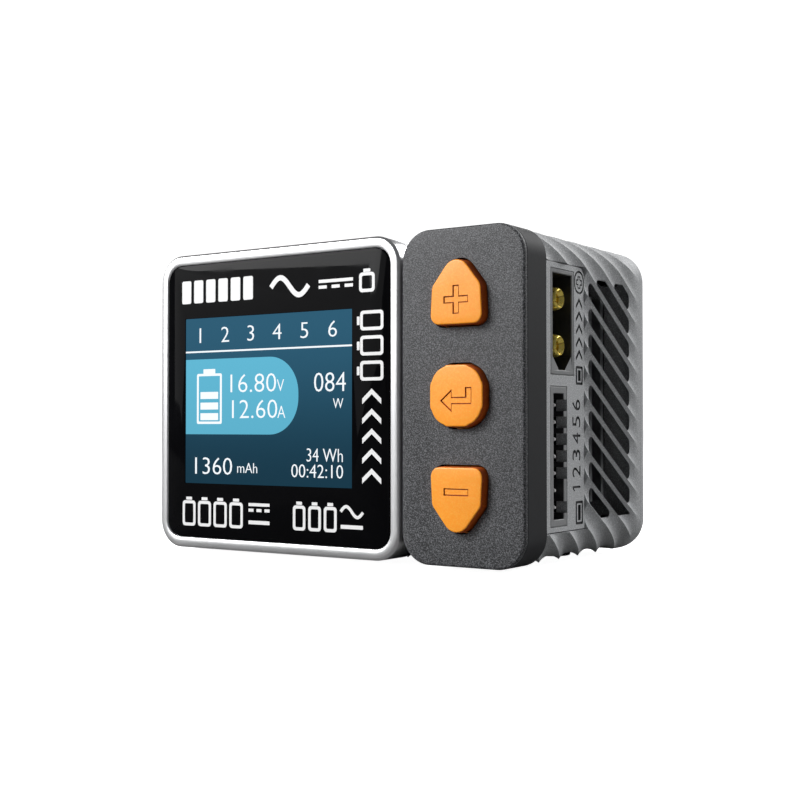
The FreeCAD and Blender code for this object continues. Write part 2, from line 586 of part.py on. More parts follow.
def power_socket(label, side, start, middle_z):
    """A two-contact power socket: an insulating shell and two split round contacts."""
    middle_y = behind(f"({start} + socket_depth / 2)")
    face = "panel_recess"
    shell = box(f"{label}_blank", (sided(side, face, "socket_length"), behind(start),
                                   f"{middle_z} - socket_height / 2"),
                ("socket_length", "socket_depth", "socket_height"))
    cavity_length = "(socket_length - socket_floor + overrun)"
    cavity = bevelled_block(f"{label}_cavity", side, f"{face} - overrun", cavity_length,
                            middle_y, middle_z, "socket_wall")
    contact_length = "(socket_length - contact_recess)"
    bores, contacts = [], []
    for end, up in (("high", f"({middle_z} + contact_pitch / 2)"),
                    ("low", f"({middle_z} - contact_pitch / 2)")):
        at = (sided(side, f"{face} + contact_recess", contact_length), middle_y, up)
        bores.append(cylinder(f"{label}_bore_{end}", "x", at, "contact_radius", contact_length))
        rod = cylinder(f"{label}_rod_{end}", "x", at, "contact_radius", contact_length)
        split_low = sided(side, f"{face} + contact_recess", "3 * contact_radius")
        slit_one = box(f"{label}_slit_flat_{end}",
                       (split_low, f"{middle_y} - 2 * contact_radius", f"{up} - contact_slit / 2"),
                       ("3 * contact_radius", "4 * contact_radius", "contact_slit"))
        slit_two = box(f"{label}_slit_tall_{end}",
                       (split_low, f"{middle_y} - contact_slit / 2", f"{up} - 2 * contact_radius"),
                       ("3 * contact_radius", "contact_slit", "4 * contact_radius"))
        contacts.append(cut(f"{label}_contact_{end}", rod, slit_one, slit_two))
    piece(f"{label}_socket", cut(f"{label}_socket", shell, cavity, *bores))
    piece(f"{label}_contacts", group(f"{label}_contacts", *contacts))
    return box(f"{label}_opening",
               (sided(side, "(-overrun)", "2 * housing_wall + overrun"),
                behind(f"({start} - panel_clearance)"),
                f"{middle_z} - socket_height / 2 - panel_clearance"),
               ("2 * housing_wall + overrun", "socket_depth + 2 * panel_clearance",
                "socket_height + 2 * panel_clearance"))


def balance_header():
    """A seven-pin shrouded header; its rear wall is notched beside all but one of the pins."""
    side, face = "right", "panel_recess"
    middle_z = f"({MIDDLE} - header_drop)"
    low = (sided(side, face, "header_length"), behind("header_start"),
           f"{middle_z} - header_height / 2")
    shroud = box("header_shroud", low, ("header_length", "header_depth", "header_height"))
    plinth = box("header_plinth", (low[0], behind("(header_start + header_depth)"), low[2]),
                 ("header_floor", f"{MAIN_FRONT} - header_start - header_depth",
                  "header_height"))
    cavity_length = "(header_length - header_floor + overrun)"
    cavity = box("header_cavity", (sided(side, f"{face} - overrun", cavity_length),
                                   behind("(header_start + header_wall)"),
                                   f"{middle_z} - header_height / 2 + header_wall"),
                 (cavity_length, "header_depth - 2 * header_wall",
                  "header_height - 2 * header_wall"))
    pin_count, plain_pin = 7, 5
    pin_y = behind("(header_start + header_depth / 2)")
    pin_length = "(header_length - pin_recess + housing_wall)"
    notches, pins, bores = [], [], []
    for number in range(pin_count):
        up = f"({middle_z} + {(pin_count - 1) / 2 - number} * pin_pitch)"
        low_corner = (sided(side, f"{face} + pin_recess", pin_length),
                      f"{pin_y} - pin_width / 2", f"{up} - pin_width / 2")
        size = (pin_length, "pin_width", "pin_width")
        pins.append(box(f"balance_pin_{number}", low_corner, size))
        bores.append(box(f"balance_pin_bore_{number}", low_corner, size))
        if number != plain_pin:
            notches.append(box(f"header_notch_{number}",
                               (sided(side, f"{face} - overrun", cavity_length),
                                behind("(header_start + header_depth - 2 * header_wall)"),
                                f"{up} - notch_width / 2"),
                               (cavity_length, "3 * header_wall", "notch_width")))
    piece("balance_header", cut("balance_header", fuse("header_blank", shroud, plinth), cavity,
                                *notches, *bores))
    piece("balance_pins", group("balance_pins", *pins))
    return box("header_opening",
               (sided(side, "(-overrun)", "2 * housing_wall + overrun"),
                behind("(header_start - panel_clearance)"),
                f"{middle_z} - header_height / 2 - panel_clearance"),
               ("2 * housing_wall + overrun", "header_depth + 2 * panel_clearance",
                "header_height + 2 * panel_clearance"))


def usb_port():
    """The upright USB-C supply port on the left."""
    side, face = "left", "panel_recess"
    middle_z = f"({MIDDLE} - usb_drop)"
    middle_y = behind("(usb_start + usb_depth / 2)")

    def sleeve(name, near, length, inset):
        shape = doc.addObject("PartDesign::Body", name)
        block = shape.newObject("PartDesign::AdditiveBox", name + "_block")
        bind(block, Length=length, Width=f"usb_depth - 2 * ({inset})",
             Height=f"usb_height - 2 * ({inset})")
        doc.recompute()
        rounding = shape.newObject("PartDesign::Fillet", name + "_rounding")
        rounding.Base = (block, edges_along(block.Shape, X_AXIS))
        bind(rounding, Radius=f"usb_depth / 2 - ({inset}) - panel_clearance")
        place(shape, (sided(side, near, length), f"{middle_y} - usb_depth / 2 + {inset}",
                      f"{middle_z} - usb_height / 2 + {inset}"))
        return shape

    outer = sleeve("usb_outer", face, "usb_length", "0 * overrun")
    inner = sleeve("usb_inner", f"{face} - overrun", "usb_length + overrun - 2 * usb_wall",
                   "usb_wall")
    piece("usb_c_shell", cut("usb_c_shell", outer, inner))
    piece("usb_c_tongue",
          box("usb_c_tongue", (sided(side, f"{face} + overrun", "usb_length - overrun"
                                     " - 2 * usb_wall"),
                               f"{middle_y} - tongue_thickness / 2",
                               f"{middle_z} - tongue_width / 2"),
              ("usb_length - overrun - 2 * usb_wall", "tongue_thickness", "tongue_width")))
    board_start = behind("(usb_start + usb_depth)")
    piece("usb_board",
          box("usb_board", (sided(side, "housing_wall + panel_flange", "usb_length"),
                            board_start, f"{middle_z} - usb_height"),
              ("usb_length", "thin_board", "2 * usb_height")))
    return sleeve("usb_opening", "(-overrun)", "2 * housing_wall + overrun", "(-panel_clearance)")


def side_panel(side, *openings):
    """A panel set into the side wall, with a lip inside that it is held by."""
    start = panel_span(side)
    plate = box(f"panel_plate_{side}",
                (sided(side, "panel_recess", "housing_wall - panel_recess"),
                 behind(f"({start} + panel_clearance)"),
                 f"{MIDDLE} - panel_height / 2 + panel_clearance"),
                ("housing_wall - panel_recess",
                 f"panel_end - {start} - 2 * panel_clearance",
                 "panel_height - 2 * panel_clearance"))
    lip_start = f"({BEZEL_BACK} + housing_wall)"
    lip = box(f"panel_back_{side}",
              (sided(side, "housing_wall", "panel_flange"), behind(lip_start),
               f"{MIDDLE} - panel_height / 2 + 2 * panel_lip"),
              ("panel_flange", f"panel_end - {lip_start} + panel_lip",
               "panel_height - 4 * panel_lip"))
    piece(f"{side}_port_panel",
          cut(f"{side}_port_panel", fuse(f"panel_whole_{side}", plate, lip), *openings))


def build_sockets():
    output = power_socket("output", "right", "output_start", f"({MIDDLE} + output_rise)")
    header = balance_header()
    side_panel("right", output, header)
    supply = power_socket("supply", "left", "input_start", f"({MIDDLE} + input_rise)")
    side_panel("left", supply, usb_port())


# ---------------------------------------------------------------- boards and components

MAIN_BACK = f"({MAIN_FRONT} + board_thickness)"
MAIN_LEFT = f"(panel_recess + socket_length - {RIGHT})"
MAIN_RIGHT = f"({INSIDE_RIGHT} - panel_flange - main_board_margin)"
MAIN_X = f"(({MAIN_LEFT} + {MAIN_RIGHT}) / 2)"
POWER_X = "(-power_board_shift)"
POWER_FLOOR = f"({FLOOR} + housing_wall + power_board_lift)"
POWER_TOP = f"({POWER_FLOOR} + board_thickness)"


def on_power_board(name, middle_x, start, size):
    """A box that stands on the power board."""
    return box(name, (f"{middle_x} - ({size[0]}) / 2", behind(start), POWER_TOP), size)


def build_main_board():
    board = box_about("main_board", (MAIN_X, behind(MAIN_FRONT), MIDDLE),
                      (f"{MAIN_RIGHT} - {MAIN_LEFT}", "board_thickness", "main_board_height"))
    piece("main_board", board)
    front_wall = f"({BEZEL_BACK} + housing_wall)"
    spacers = []
    for column in (-1, 1):
        for row in (-1, 1):
            at = (f"(-spacer_shift) + {column} * spacer_span_x / 2", behind(front_wall),
                  f"{MIDDLE} + {row} * spacer_span_z / 2")
            spacers.append(cylinder(f"board_spacer_{column + 1}{row + 1}", "y", at,
                                    "spacer_radius", f"{MAIN_FRONT} - {front_wall}"))
    piece("board_spacers", group("board_spacers", *spacers))
    coils = [box_about(f"inductor_{step + 1}",
                       (f"({step} * 1.3 * inductor_width - spacer_shift)",
                        behind(f"({MAIN_FRONT} - inductor_height)"),
                        f"({MIDDLE} + 2 * lcd_border)"),
                       ("inductor_width", "inductor_height", "inductor_width"))
             for step in (-0.5, 0.5)]
    piece("power_inductors", group("power_inductors", *coils))
    piece("controller_chip",
          box_about("controller_chip",
                    (f"({MAIN_X} + 0.7 * chip_width)", behind(f"({MAIN_FRONT} - chip_height)"),
                     f"({MIDDLE} - 1.5 * chip_width)"), ("chip_width", "chip_height", "chip_width")))
    buzzer = cylinder("buzzer_can", "y", (f"{MAIN_X} - 2 * buzzer_radius", behind(MAIN_BACK),
                                          f"{MIDDLE} + 3 * buzzer_radius"),
                      "buzzer_radius", "buzzer_height")
    hole = cylinder("buzzer_hole", "y", (f"{MAIN_X} - 2 * buzzer_radius",
                                         behind(f"({MAIN_BACK} + buzzer_height / 2)"),
                                         f"{MIDDLE} + 3 * buzzer_radius"),
                    "buzzer_hole", "buzzer_height")
    piece("buzzer", cut("buzzer", buzzer, hole))


def build_ribbon():
    """The flat cable that joins the display's board to the main board through its slot."""
    start = "(bezel_setback + glass_thickness + lcd_thickness + backlight_thickness + thin_board)"
    middle = f"({BEZEL_X} - lcd_shift)"
    piece("display_ribbon",
          box_about("display_ribbon", (middle, behind(start), f"({MIDDLE} - ribbon_drop)"),
                    ("ribbon_width", f"{MAIN_FRONT} - {start}", "ribbon_thickness")))


def build_heatsink():
    height_low = f"{MIDDLE} - heatsink_height / 2"
    base_x = sided("right", "housing_wall + heatsink_gap", "heatsink_reach")
    base = box("heatsink_plate", (base_x, behind("heatsink_start"), height_low),
               ("heatsink_base", "(fin_count - 1) * fin_pitch + fin_thickness",
                "heatsink_height"))
    fins = [box(f"heatsink_fin_{step}",
                (base_x, behind(f"(heatsink_start + {step} * fin_pitch)"), height_low),
                ("heatsink_reach", "fin_thickness", "heatsink_height"))
            for step in range(int(SIZES["fin_count"]))]
    piece("heatsink", fuse("heatsink", base, *fins))
    mosfets = [box(f"mosfet_{step + 1}",
                   (f"{base_x} - mosfet_thickness", behind(MAIN_BACK),
                    f"{MIDDLE} + {step} * mosfet_spacing - mosfet_height / 2"),
                   ("mosfet_thickness", "mosfet_length", "mosfet_height"))
               for step in (-1, 0, 1)]
    piece("mosfets", group("mosfets", *mosfets))


def build_power_board():
    piece("power_board",
          box("power_board", (f"{POWER_X} - power_board_width / 2", behind("power_board_start"),
                              POWER_FLOOR),
              ("power_board_width", "power_board_length", "board_thickness")))
    pads = []
    for column in (-1, 1):
        for row in (0, 1):
            at = (f"{POWER_X} + {column} * (power_board_width / 2 - power_foot_inset)",
                  behind(f"(power_board_start + spacer_radius + {row} * (power_board_length"
                         " - 2 * spacer_radius))"), f"{FLOOR} + housing_wall")
            pads.append(cylinder(f"board_foot_{column + 1}{row}", "z", at, "spacer_radius",
                                 "power_board_lift"))
    piece("board_feet", group("board_feet", *pads))

    first = "(power_board_start + overrun)"
    core_start = f"({first} + coil_bulge)"
    core_x = f"({POWER_X} + power_board_width / 2 - transformer_width / 2 - 2 * overrun)"
    block = on_power_board("transformer_block", core_x, core_start,
                           ("transformer_width", "transformer_length", "transformer_height"))
    core_middle = f"({POWER_TOP} + transformer_height / 2)"
    window_size = ("transformer_width - 2 * transformer_wall", "body_depth",
                   "transformer_height - 2 * transformer_wall")
    window = box_about("transformer_window", (core_x, FACE, core_middle), window_size)
    leg_size = ("transformer_leg", "transformer_length", "transformer_height")
    leg = on_power_board("transformer_leg_bar", core_x, core_start, leg_size)
    piece("transformer_core",
          fuse("transformer_core", cut("transformer_ring", block, window), leg))
    coil = box_about("transformer_coil", (core_x, behind(first), core_middle),
                     (window_size[0], "transformer_length + 2 * coil_bulge", window_size[2]))
    leg_hole = on_power_board("transformer_leg_hole", core_x, core_start, leg_size)
    piece("transformer_winding", cut("transformer_winding", coil, leg_hole))

    left_x = f"({POWER_X} - power_board_width / 2 + capacitor_radius)"
    cans = [cylinder(f"bulk_capacitor_{step + 1}", "z",
                     (f"{left_x} + {step} * capacitor_spacing",
                      behind(f"({first} + capacitor_radius)"), POWER_TOP),
                     "capacitor_radius", "capacitor_height") for step in (0, 1)]
    piece("bulk_capacitors", group("bulk_capacitors", *cans))

    rear_row = f"({first} + 2 * capacitor_radius + 3 * lead_radius)"
    choke_at = (left_x, behind(f"({rear_row} + choke_radius)"), POWER_TOP)
    ring = cylinder("choke_ring", "z", choke_at, "choke_radius", "choke_height")
    eye = cylinder("choke_eye", "z", choke_at, "choke_bore", "choke_height + overrun")
    piece("line_choke", cut("line_choke", ring, eye))
    fuse_x = f"({left_x} + choke_radius + overrun / 2 + fuse_radius)"
    piece("line_fuse", cylinder("line_fuse", "y",
                                (fuse_x, behind(rear_row), f"{POWER_TOP} + fuse_radius"),
                                "fuse_radius", "fuse_length"))
    filter_x = f"({fuse_x} + fuse_radius + overrun / 2 + filter_width / 2)"
    piece("filter_capacitor",
          on_power_board("filter_capacitor", filter_x, rear_row,
                         ("filter_width", "filter_length", "filter_height")))


# ---------------------------------------------------------------- mains inlet

def build_mains_inlet():
    middle_x, middle_z = "(-inlet_shift)", f"({MIDDLE} + inlet_rise)"
    start = f"({REAR} - inlet_length)"
    block = rounded_box("inlet_block", (middle_x, start, middle_z),
                        ("inlet_width", "inlet_length", "inlet_height"), "inlet_lip")
    cavity_start = f"({start} + inlet_floor)"
    cavity_length = "inlet_length - inlet_floor + overrun"
    mouths = [cylinder(f"inlet_mouth_{side + 1}", "y",
                       (f"{middle_x} + {side} * inlet_pin_pitch / 2", cavity_start, middle_z),
                       "inlet_bore", cavity_length) for side in (-1, 1)]
    waist = box_about("inlet_waist", (middle_x, cavity_start, middle_z),
                      ("inlet_pin_pitch", cavity_length, "1.4 * inlet_bore"))
    pins, bores = [], []
    for side in (-1, 1):
        at = (f"{middle_x} + {side} * inlet_pin_pitch / 2", start, middle_z)
        pins.append(cylinder(f"inlet_pin_{side + 1}", "y", at, "inlet_pin_radius",
                             "inlet_length - inlet_pin_recess"))
        bores.append(cylinder(f"inlet_pin_bore_{side + 1}", "y", at, "inlet_pin_radius",
                              "inlet_length"))
    piece("mains_inlet", cut("mains_inlet", block, *mouths, waist, *bores))
    piece("mains_pins", group("mains_pins", *pins))
    leads = [cylinder(f"mains_lead_{side + 1}", "z",
                      (f"{middle_x} + {side} * inlet_pin_pitch / 2", f"{start} + lead_radius",
                       POWER_TOP), "lead_radius",
                      f"{middle_z} - inlet_height / 2 - {POWER_TOP}") for side in (-1, 1)]
    piece("mains_leads", group("mains_leads", *leads))


# ---------------------------------------------------------------- fan

FAN_FRONT = f"({COVER_FRONT} + fan_seat - fan_depth)"
FAN_Z = f"({MIDDLE} + fan_rise)"


def build_fan():
    frame = rounded_box("fan_block", ("fan_shift", FAN_FRONT, FAN_Z),
                        ("fan_size", "fan_depth", "fan_size"), "inlet_lip")
    bore = cylinder("fan_tunnel", "y", ("fan_shift", f"{FAN_FRONT} - overrun", FAN_Z),
                    "fan_bore", "fan_depth + 2 * overrun")
    ring = cut("fan_ring", frame, bore)
    disc = cylinder("fan_motor_base", "y", ("fan_shift", FAN_FRONT, FAN_Z), "rotor_hub",
                    "motor_base")
    tube = cylinder("fan_bearing_tube", "y", ("fan_shift", FAN_FRONT, FAN_Z),
                    "bearing_radius", "motor_base + bearing_length")
    struts = [box_about("fan_strut_flat", ("fan_shift", FAN_FRONT, FAN_Z),
                        ("2 * fan_bore + overrun", "motor_base", "strut_width")),
              box_about("fan_strut_tall", ("fan_shift", FAN_FRONT, FAN_Z),
                        ("strut_width", "motor_base", "2 * fan_bore + overrun"))]
    shaft_bore = cylinder("fan_shaft_bore", "y", ("fan_shift", f"{FAN_FRONT} - overrun", FAN_Z),
                          "shaft_radius + shaft_clearance",
                          "motor_base + bearing_length + 2 * overrun")
    screw_holes = [cylinder(f"fan_hole_{name}", "y", (across, FAN_FRONT, up), "screw_radius",
                            "fan_depth + overrun") for name, across, up in fan_corners()]
    piece("fan_frame", cut("fan_frame", fuse("fan_body", ring, disc, tube, *struts), shaft_bore,
                           *screw_holes))

    rotor_start = f"({FAN_FRONT} + motor_base + hub_clearance)"
    hub = cylinder("rotor_hub_blank", "y", ("fan_shift", rotor_start, FAN_Z), "rotor_hub",
                   "rotor_depth")
    hub_room = cylinder("rotor_hub_room", "y", ("fan_shift", f"{rotor_start} - overrun", FAN_Z),
                        "bearing_radius + hub_clearance",
                        "overrun + bearing_length + hub_clearance")
    blades = []
    for step in range(int(SIZES["blade_count"])):
        blade = doc.addObject("Part::Box", f"rotor_blade_{step}")
        bind(blade, Length="rotor_radius - rotor_hub / 2", Width="blade_thickness",
             Height="blade_width")
        around = FreeCAD.Rotation(Y_AXIS, 360 * step / SIZES["blade_count"])
        pitched = FreeCAD.Rotation(X_AXIS, SIZES["blade_angle"])
        turn = around.multiply(pitched)
        half = FreeCAD.Vector(SIZES["rotor_hub"] / 2, -SIZES["blade_thickness"] / 2,
                              -SIZES["blade_width"] / 2)
        offset = turn.multVec(half)
        place(blade, (f"fan_shift + ({offset.x:.6f})",
                      f"{rotor_start} + rotor_depth / 2 + ({offset.y:.6f})",
                      f"{FAN_Z} + ({offset.z:.6f})"), turn)
        blades.append(blade)
    envelope = cylinder("rotor_envelope", "y", ("fan_shift", rotor_start, FAN_Z),
                        "rotor_radius", "rotor_depth")
    bladed = common("rotor_trimmed", fuse("rotor_whole", hub, *blades), envelope)
    spindle = cylinder("rotor_spindle_hole", "y", ("fan_shift", FAN_FRONT, FAN_Z), "shaft_radius",
                       "motor_base + hub_clearance + rotor_depth - glyph_depth")
    piece("fan_rotor", cut("fan_rotor", bladed, hub_room, spindle))
    piece("fan_shaft", cylinder("fan_shaft", "y", ("fan_shift", FAN_FRONT, FAN_Z),
                                "shaft_radius",
                                "motor_base + hub_clearance + rotor_depth - glyph_depth"))


# ---------------------------------------------------------------- build, check and write

build_display()
build_keypad()
build_housing()
build_rear_cover()
build_feet()
build_sockets()
build_main_board()
build_ribbon()
build_heatsink()
build_power_board()
build_mains_inlet()
build_fan()
doc.recompute()

for thing in doc.Objects:
    if "Invalid" in thing.State or "Error" in thing.State:
        raise RuntimeError(f"{thing.Name} failed to recompute: {thing.State}")
for thing in pieces:
    if thing.Shape.isNull() or not thing.Shape.isValid() or not thing.Shape.Solids:
        raise RuntimeError(f"{thing.Label} has no valid solid")

os.makedirs("parts", exist_ok=True)
for thing in pieces:
    thing.Shape.exportStep(os.path.join("parts", thing.Label + ".step"))
print(f"{len(pieces)} nodes written")
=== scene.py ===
"""Balance battery charger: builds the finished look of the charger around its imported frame.

Lengths in this file are millimetres in the row frame (+Z up, front facing -Y) unless a name says
otherwise, and meshes are scaled to metres once, where they are made.
"""
import math

import bmesh
import bpy
from mathutils import Matrix, Vector


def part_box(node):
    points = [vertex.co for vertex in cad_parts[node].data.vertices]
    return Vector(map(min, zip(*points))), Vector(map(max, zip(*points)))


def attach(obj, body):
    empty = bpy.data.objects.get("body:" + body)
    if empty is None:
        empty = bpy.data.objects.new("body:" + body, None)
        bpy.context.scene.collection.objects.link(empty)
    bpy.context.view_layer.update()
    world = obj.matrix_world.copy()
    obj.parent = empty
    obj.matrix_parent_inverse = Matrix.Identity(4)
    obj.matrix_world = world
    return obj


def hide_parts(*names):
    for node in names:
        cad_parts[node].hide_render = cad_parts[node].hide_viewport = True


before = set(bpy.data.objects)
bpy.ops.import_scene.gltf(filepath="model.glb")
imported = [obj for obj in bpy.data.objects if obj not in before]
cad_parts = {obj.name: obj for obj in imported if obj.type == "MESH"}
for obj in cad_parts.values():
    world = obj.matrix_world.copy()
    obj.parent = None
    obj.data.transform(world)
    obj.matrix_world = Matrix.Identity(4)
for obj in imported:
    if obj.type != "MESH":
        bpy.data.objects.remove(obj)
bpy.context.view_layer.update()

bl_info = {
    "name": "Balance charger",
    "version": (1, 0, 0),
    "blender": (4, 5, 0),
    "location": "View3D > Sidebar > Charger",
    "description": "Builds the finished pieces of a small balance battery charger",
    "category": "Object",
}

MM = 0.001
HOUSING = "housing"
SIDE_PITCH_COUNT = 60
SHARP_ANGLE = math.radians(32)
STEEP = 0.55


# ------------------------------------------------------------------ frame helpers

def cad_box(node):
    """A CAD node's lowest and highest corners in millimetres."""
    low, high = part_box(node)
    return low / MM, high / MM


def cad_middle(node):
    low, high = cad_box(node)
    return (low + high) / 2


KEYPAD_LOW, KEYPAD_HIGH = cad_box("keypad_faceplate")
SHELL_LOW, SHELL_HIGH = cad_box("keypad_shell")
BEZEL_LOW, BEZEL_HIGH = cad_box("display_bezel")
GLASS_LOW, GLASS_HIGH = cad_box("display_glass")
HOUSE_LOW, HOUSE_HIGH = cad_box("main_housing")
FACE = KEYPAD_LOW.y
MIDDLE = (KEYPAD_LOW.z + KEYPAD_HIGH.z) / 2


# ------------------------------------------------------------------ settings

def length(name, text, default, low=0.0, high=100.0):
    return bpy.props.FloatProperty(name=name, description=text, default=default, min=low, max=high,
                                   precision=3)


def colour(name, text, default):
    return bpy.props.FloatVectorProperty(name=name, description=text, subtype="COLOR", size=4,
                                         min=0.0, max=1.0, default=(*default, 1.0))


class HousingSettings(bpy.types.PropertyGroup):
    """Sizes of the ribbed housing, in millimetres."""
    corner_radius: length("Corner radius", "Radius of the housing's long edges", 5.0)
    wall: length("Wall", "Thickness of the housing's wall", 1.15)
    flute_depth: length("Flute depth", "How deep a flute is below its ridges", 0.74)
    flute_pitch: length("Flute pitch", "Distance between ridges, measured upright", 3.89)
    flute_slope: bpy.props.FloatProperty(name="Flute slope", subtype="ANGLE",
                                         description="How steeply the ridges fall to the rear",
                                         default=math.radians(31.4))
    flute_shift: length("Flute shift", "Height of the middle slot above the middle", 0.5)
    slot_opening: length("Slot opening", "Upright opening of a ventilation slot", 2.87)
    vent_start: length("Vent start", "Where the slots start, behind the keypad's face", 20.0)
    vent_length: length("Vent length", "How far the slots reach along the side", 14.9)
    vent_height: length("Vent height", "Height of the slotted field", 36.8)
    slot_rounding: length("Slot rounding", "Radius of a slot's corners", 0.95)
    slot_slant: length("Slot slant", "How far a slot runs to the rear for each millimetre inwards",
                       1.95)
    fade_start: length("Fade start", "Where the flutes start to fade out", 34.6)
    fade_end: length("Fade end", "Where the flutes have faded out", 38.6)


class KeypadSettings(bpy.types.PropertyGroup):
    """Sizes of the keypad slab and its caps, in millimetres."""
    corner_radius: length("Corner radius", "Radius of the slab's long edges", 4.6)
    edge_radius: length("Edge radius", "Rounding of the faceplate's front edge", 0.42)
    cap_edge: length("Cap edge", "Rounding of a cap's front edge", 0.26)
    cap_draft: length("Cap draft", "How much a cap narrows from its root to its edge", 0.08)
    hole_clearance: length("Hole clearance", "Gap round each cap", 0.26)
    glyph_depth: length("Glyph depth", "How deep the sign on a cap is sunk", 0.36)
    glyph_width: length("Glyph width", "Width of the sign on a cap", 4.1)
    glyph_stroke: length("Glyph stroke", "Stroke of the sign on a cap", 1.05)
    glyph_shift: length("Glyph shift", "How far a plus or minus sits towards its cap's root", 1.1)
    arrow_drop: length("Arrow drop", "How far the arrow sits below its cap's middle", 0.7)


class DisplaySettings(bpy.types.PropertyGroup):
    """Sizes of the display module, in millimetres."""
    corner_radius: length("Corner radius", "Radius of the bezel's long edges", 4.5)
    chamfer: length("Chamfer", "Chamfer on the bezel's front edges", 0.34)
    glass_radius: length("Glass radius", "Corner radius of the glass", 3.0)
    screen_border: length("Screen border", "How far the lit screen lies inside the LCD panel", 2.0)
    ink: length("Ink", "Thickness of what is printed on the glass", 0.03)


class FinishSettings(bpy.types.PropertyGroup):
    """Colours of the finishes."""
    housing: colour("Housing", "Housing plastic", (0.39, 0.40, 0.41))
    fleck: colour("Fleck", "Light flecks in the housing plastic", (0.80, 0.81, 0.82))
    faceplate: colour("Faceplate", "Textured faceplate", (0.012, 0.0125, 0.0145))
    # Faceplate grain glint: the grain is the plastic's own texture, and its light flecks are painted
    # glints of the textured surface.
    faceplate_fleck: colour("Faceplate fleck", "Light grains of the faceplate",
                            (0.225, 0.23, 0.245))
    slab: colour("Slab", "Smooth keypad shell", (0.019, 0.0195, 0.0215))
    cap: colour("Cap", "Orange caps", (1.0, 0.33, 0.014))
    cap_fleck: colour("Cap fleck", "Light grains of the caps", (1.0, 0.50, 0.06))
    # Cap painted shade: a deeper orange that stands for the shade on the caps' sides and in their
    # sunk signs.
    cap_side: colour("Cap side", "Deeper orange of the caps' sides", (0.56, 0.085, 0.006))
    bezel: colour("Bezel", "Brushed metal bezel", (0.90, 0.90, 0.91))
    screen: colour("Screen", "Background of the lit screen", (0.0120, 0.050, 0.083))
    screen_pill: colour("Screen field", "Light field on the screen", (0.100, 0.395, 0.545))
    gold: colour("Gold", "Gold plated contacts", (1.0, 0.80, 0.17))


class StageSettings(bpy.types.PropertyGroup):
    """Camera and light."""
    azimuth: bpy.props.FloatProperty(name="Azimuth", description="Camera's turn to the right",
                                     subtype="ANGLE", default=math.radians(34.183))
    pitch: bpy.props.FloatProperty(name="Pitch", description="How far the camera looks up",
                                   subtype="ANGLE", default=math.radians(1.177))
    lens: bpy.props.FloatProperty(name="Lens", description="Focal length in millimetres",
                                  default=57.23, min=10.0)
    side: length("Side", "Camera's place right of the middle", 119.47, -1000, 1000)
    back: length("Back", "Camera's place along Y", -175.25, -1000, 1000)
    height: length("Height", "Camera's height above the floor", 20.89, -1000, 1000)


SETTINGS = {
    "charger_housing": HousingSettings, "charger_keypad": KeypadSettings,
    "charger_display": DisplaySettings, "charger_finish": FinishSettings,
    "charger_stage": StageSettings,
}


# ------------------------------------------------------------------ outlines

def rounded_rect(width, height, radius, steps=8):
    """A rounded rectangle about the origin, anticlockwise."""
    points = []
    for corner, (across, up) in enumerate(((1, 1), (-1, 1), (-1, -1), (1, -1))):
        middle = (across * (width / 2 - radius), up * (height / 2 - radius))
        for step in range(steps + 1):
            angle = math.pi / 2 * (corner + step / steps)
            points.append((middle[0] + radius * math.cos(angle),
                           middle[1] + radius * math.sin(angle)))
    return points


def grown(corners, margin):
    """An anticlockwise polygon with every side moved outwards by a margin."""
    points = []
    for i, corner in enumerate(corners):
        here = Vector(corner)
        arriving = (here - Vector(corners[i - 1])).normalized()
        leaving = (Vector(corners[(i + 1) % len(corners)]) - here).normalized()
        first, second = Vector((arriving.y, -arriving.x)), Vector((leaving.y, -leaving.x))
        moved = here + (first + second) * margin / (1.0 + first.dot(second))
        points.append((moved.x, moved.y))
    return points


def rounded_polygon(corners, radii, steps=8):
    """A polygon with its corners rounded; a radius is cut short where a side is too short."""
    points = []
    for i, corner in enumerate(corners):
        here = Vector(corner)
        last, after = Vector(corners[i - 1]) - here, Vector(corners[(i + 1) % len(corners)]) - here
        half = last.angle(after) / 2
        reach = min(radii[i] / math.tan(half), 0.48 * last.length, 0.48 * after.length)
        radius = reach * math.tan(half)
        last.normalize()
        after.normalize()
        centre = here + (last + after).normalized() * radius / math.sin(half)
        start, end = here + last * reach - centre, here + after * reach - centre
        first = math.atan2(start.y, start.x)
        turn = (math.atan2(end.y, end.x) - first + math.pi) % (2 * math.pi) - math.pi
        for step in range(steps + 1):
            angle = first + turn * step / steps
            points.append((centre.x + radius * math.cos(angle),
                           centre.y + radius * math.sin(angle)))
    return points


def circle(radius, steps=40):
    return [(radius * math.cos(2 * math.pi * i / steps), radius * math.sin(2 * math.pi * i / steps))
            for i in range(steps)]


# ------------------------------------------------------------------ mesh helpers

def to_object(name, vertices, faces, material=None):
    """A mesh object from points in millimetres, with its faces pointing outwards."""
    mesh = bpy.data.meshes.new(name)
    mesh.from_pydata([Vector(v) * MM for v in vertices], [], faces)
    shaped = bmesh.new()
    shaped.from_mesh(mesh)
    bmesh.ops.remove_doubles(shaped, verts=shaped.verts, dist=1e-8)
    bmesh.ops.recalc_face_normals(shaped, faces=shaped.faces)
    shaped.to_mesh(mesh)
    shaped.free()
    if material:
        mesh.materials.append(material)
    thing = bpy.data.objects.new(name, mesh)
    bpy.context.scene.collection.objects.link(thing)
    return thing


def facing_front(at):
    """Puts an outline in X and Z about a point, with levels along Y."""
    return lambda point, level: (at[0] + point[0], level, at[1] + point[1])


def facing_side(at):
    """Puts an outline in Y and Z about a point, with levels along X."""
    return lambda point, level: (level, at[0] + point[0], at[1] + point[1])


def facing_up(at):
    """Puts an outline in X and Y about a point, with levels along Z."""
    return lambda point, level: (at[0] + point[0], at[1] + point[1], level)


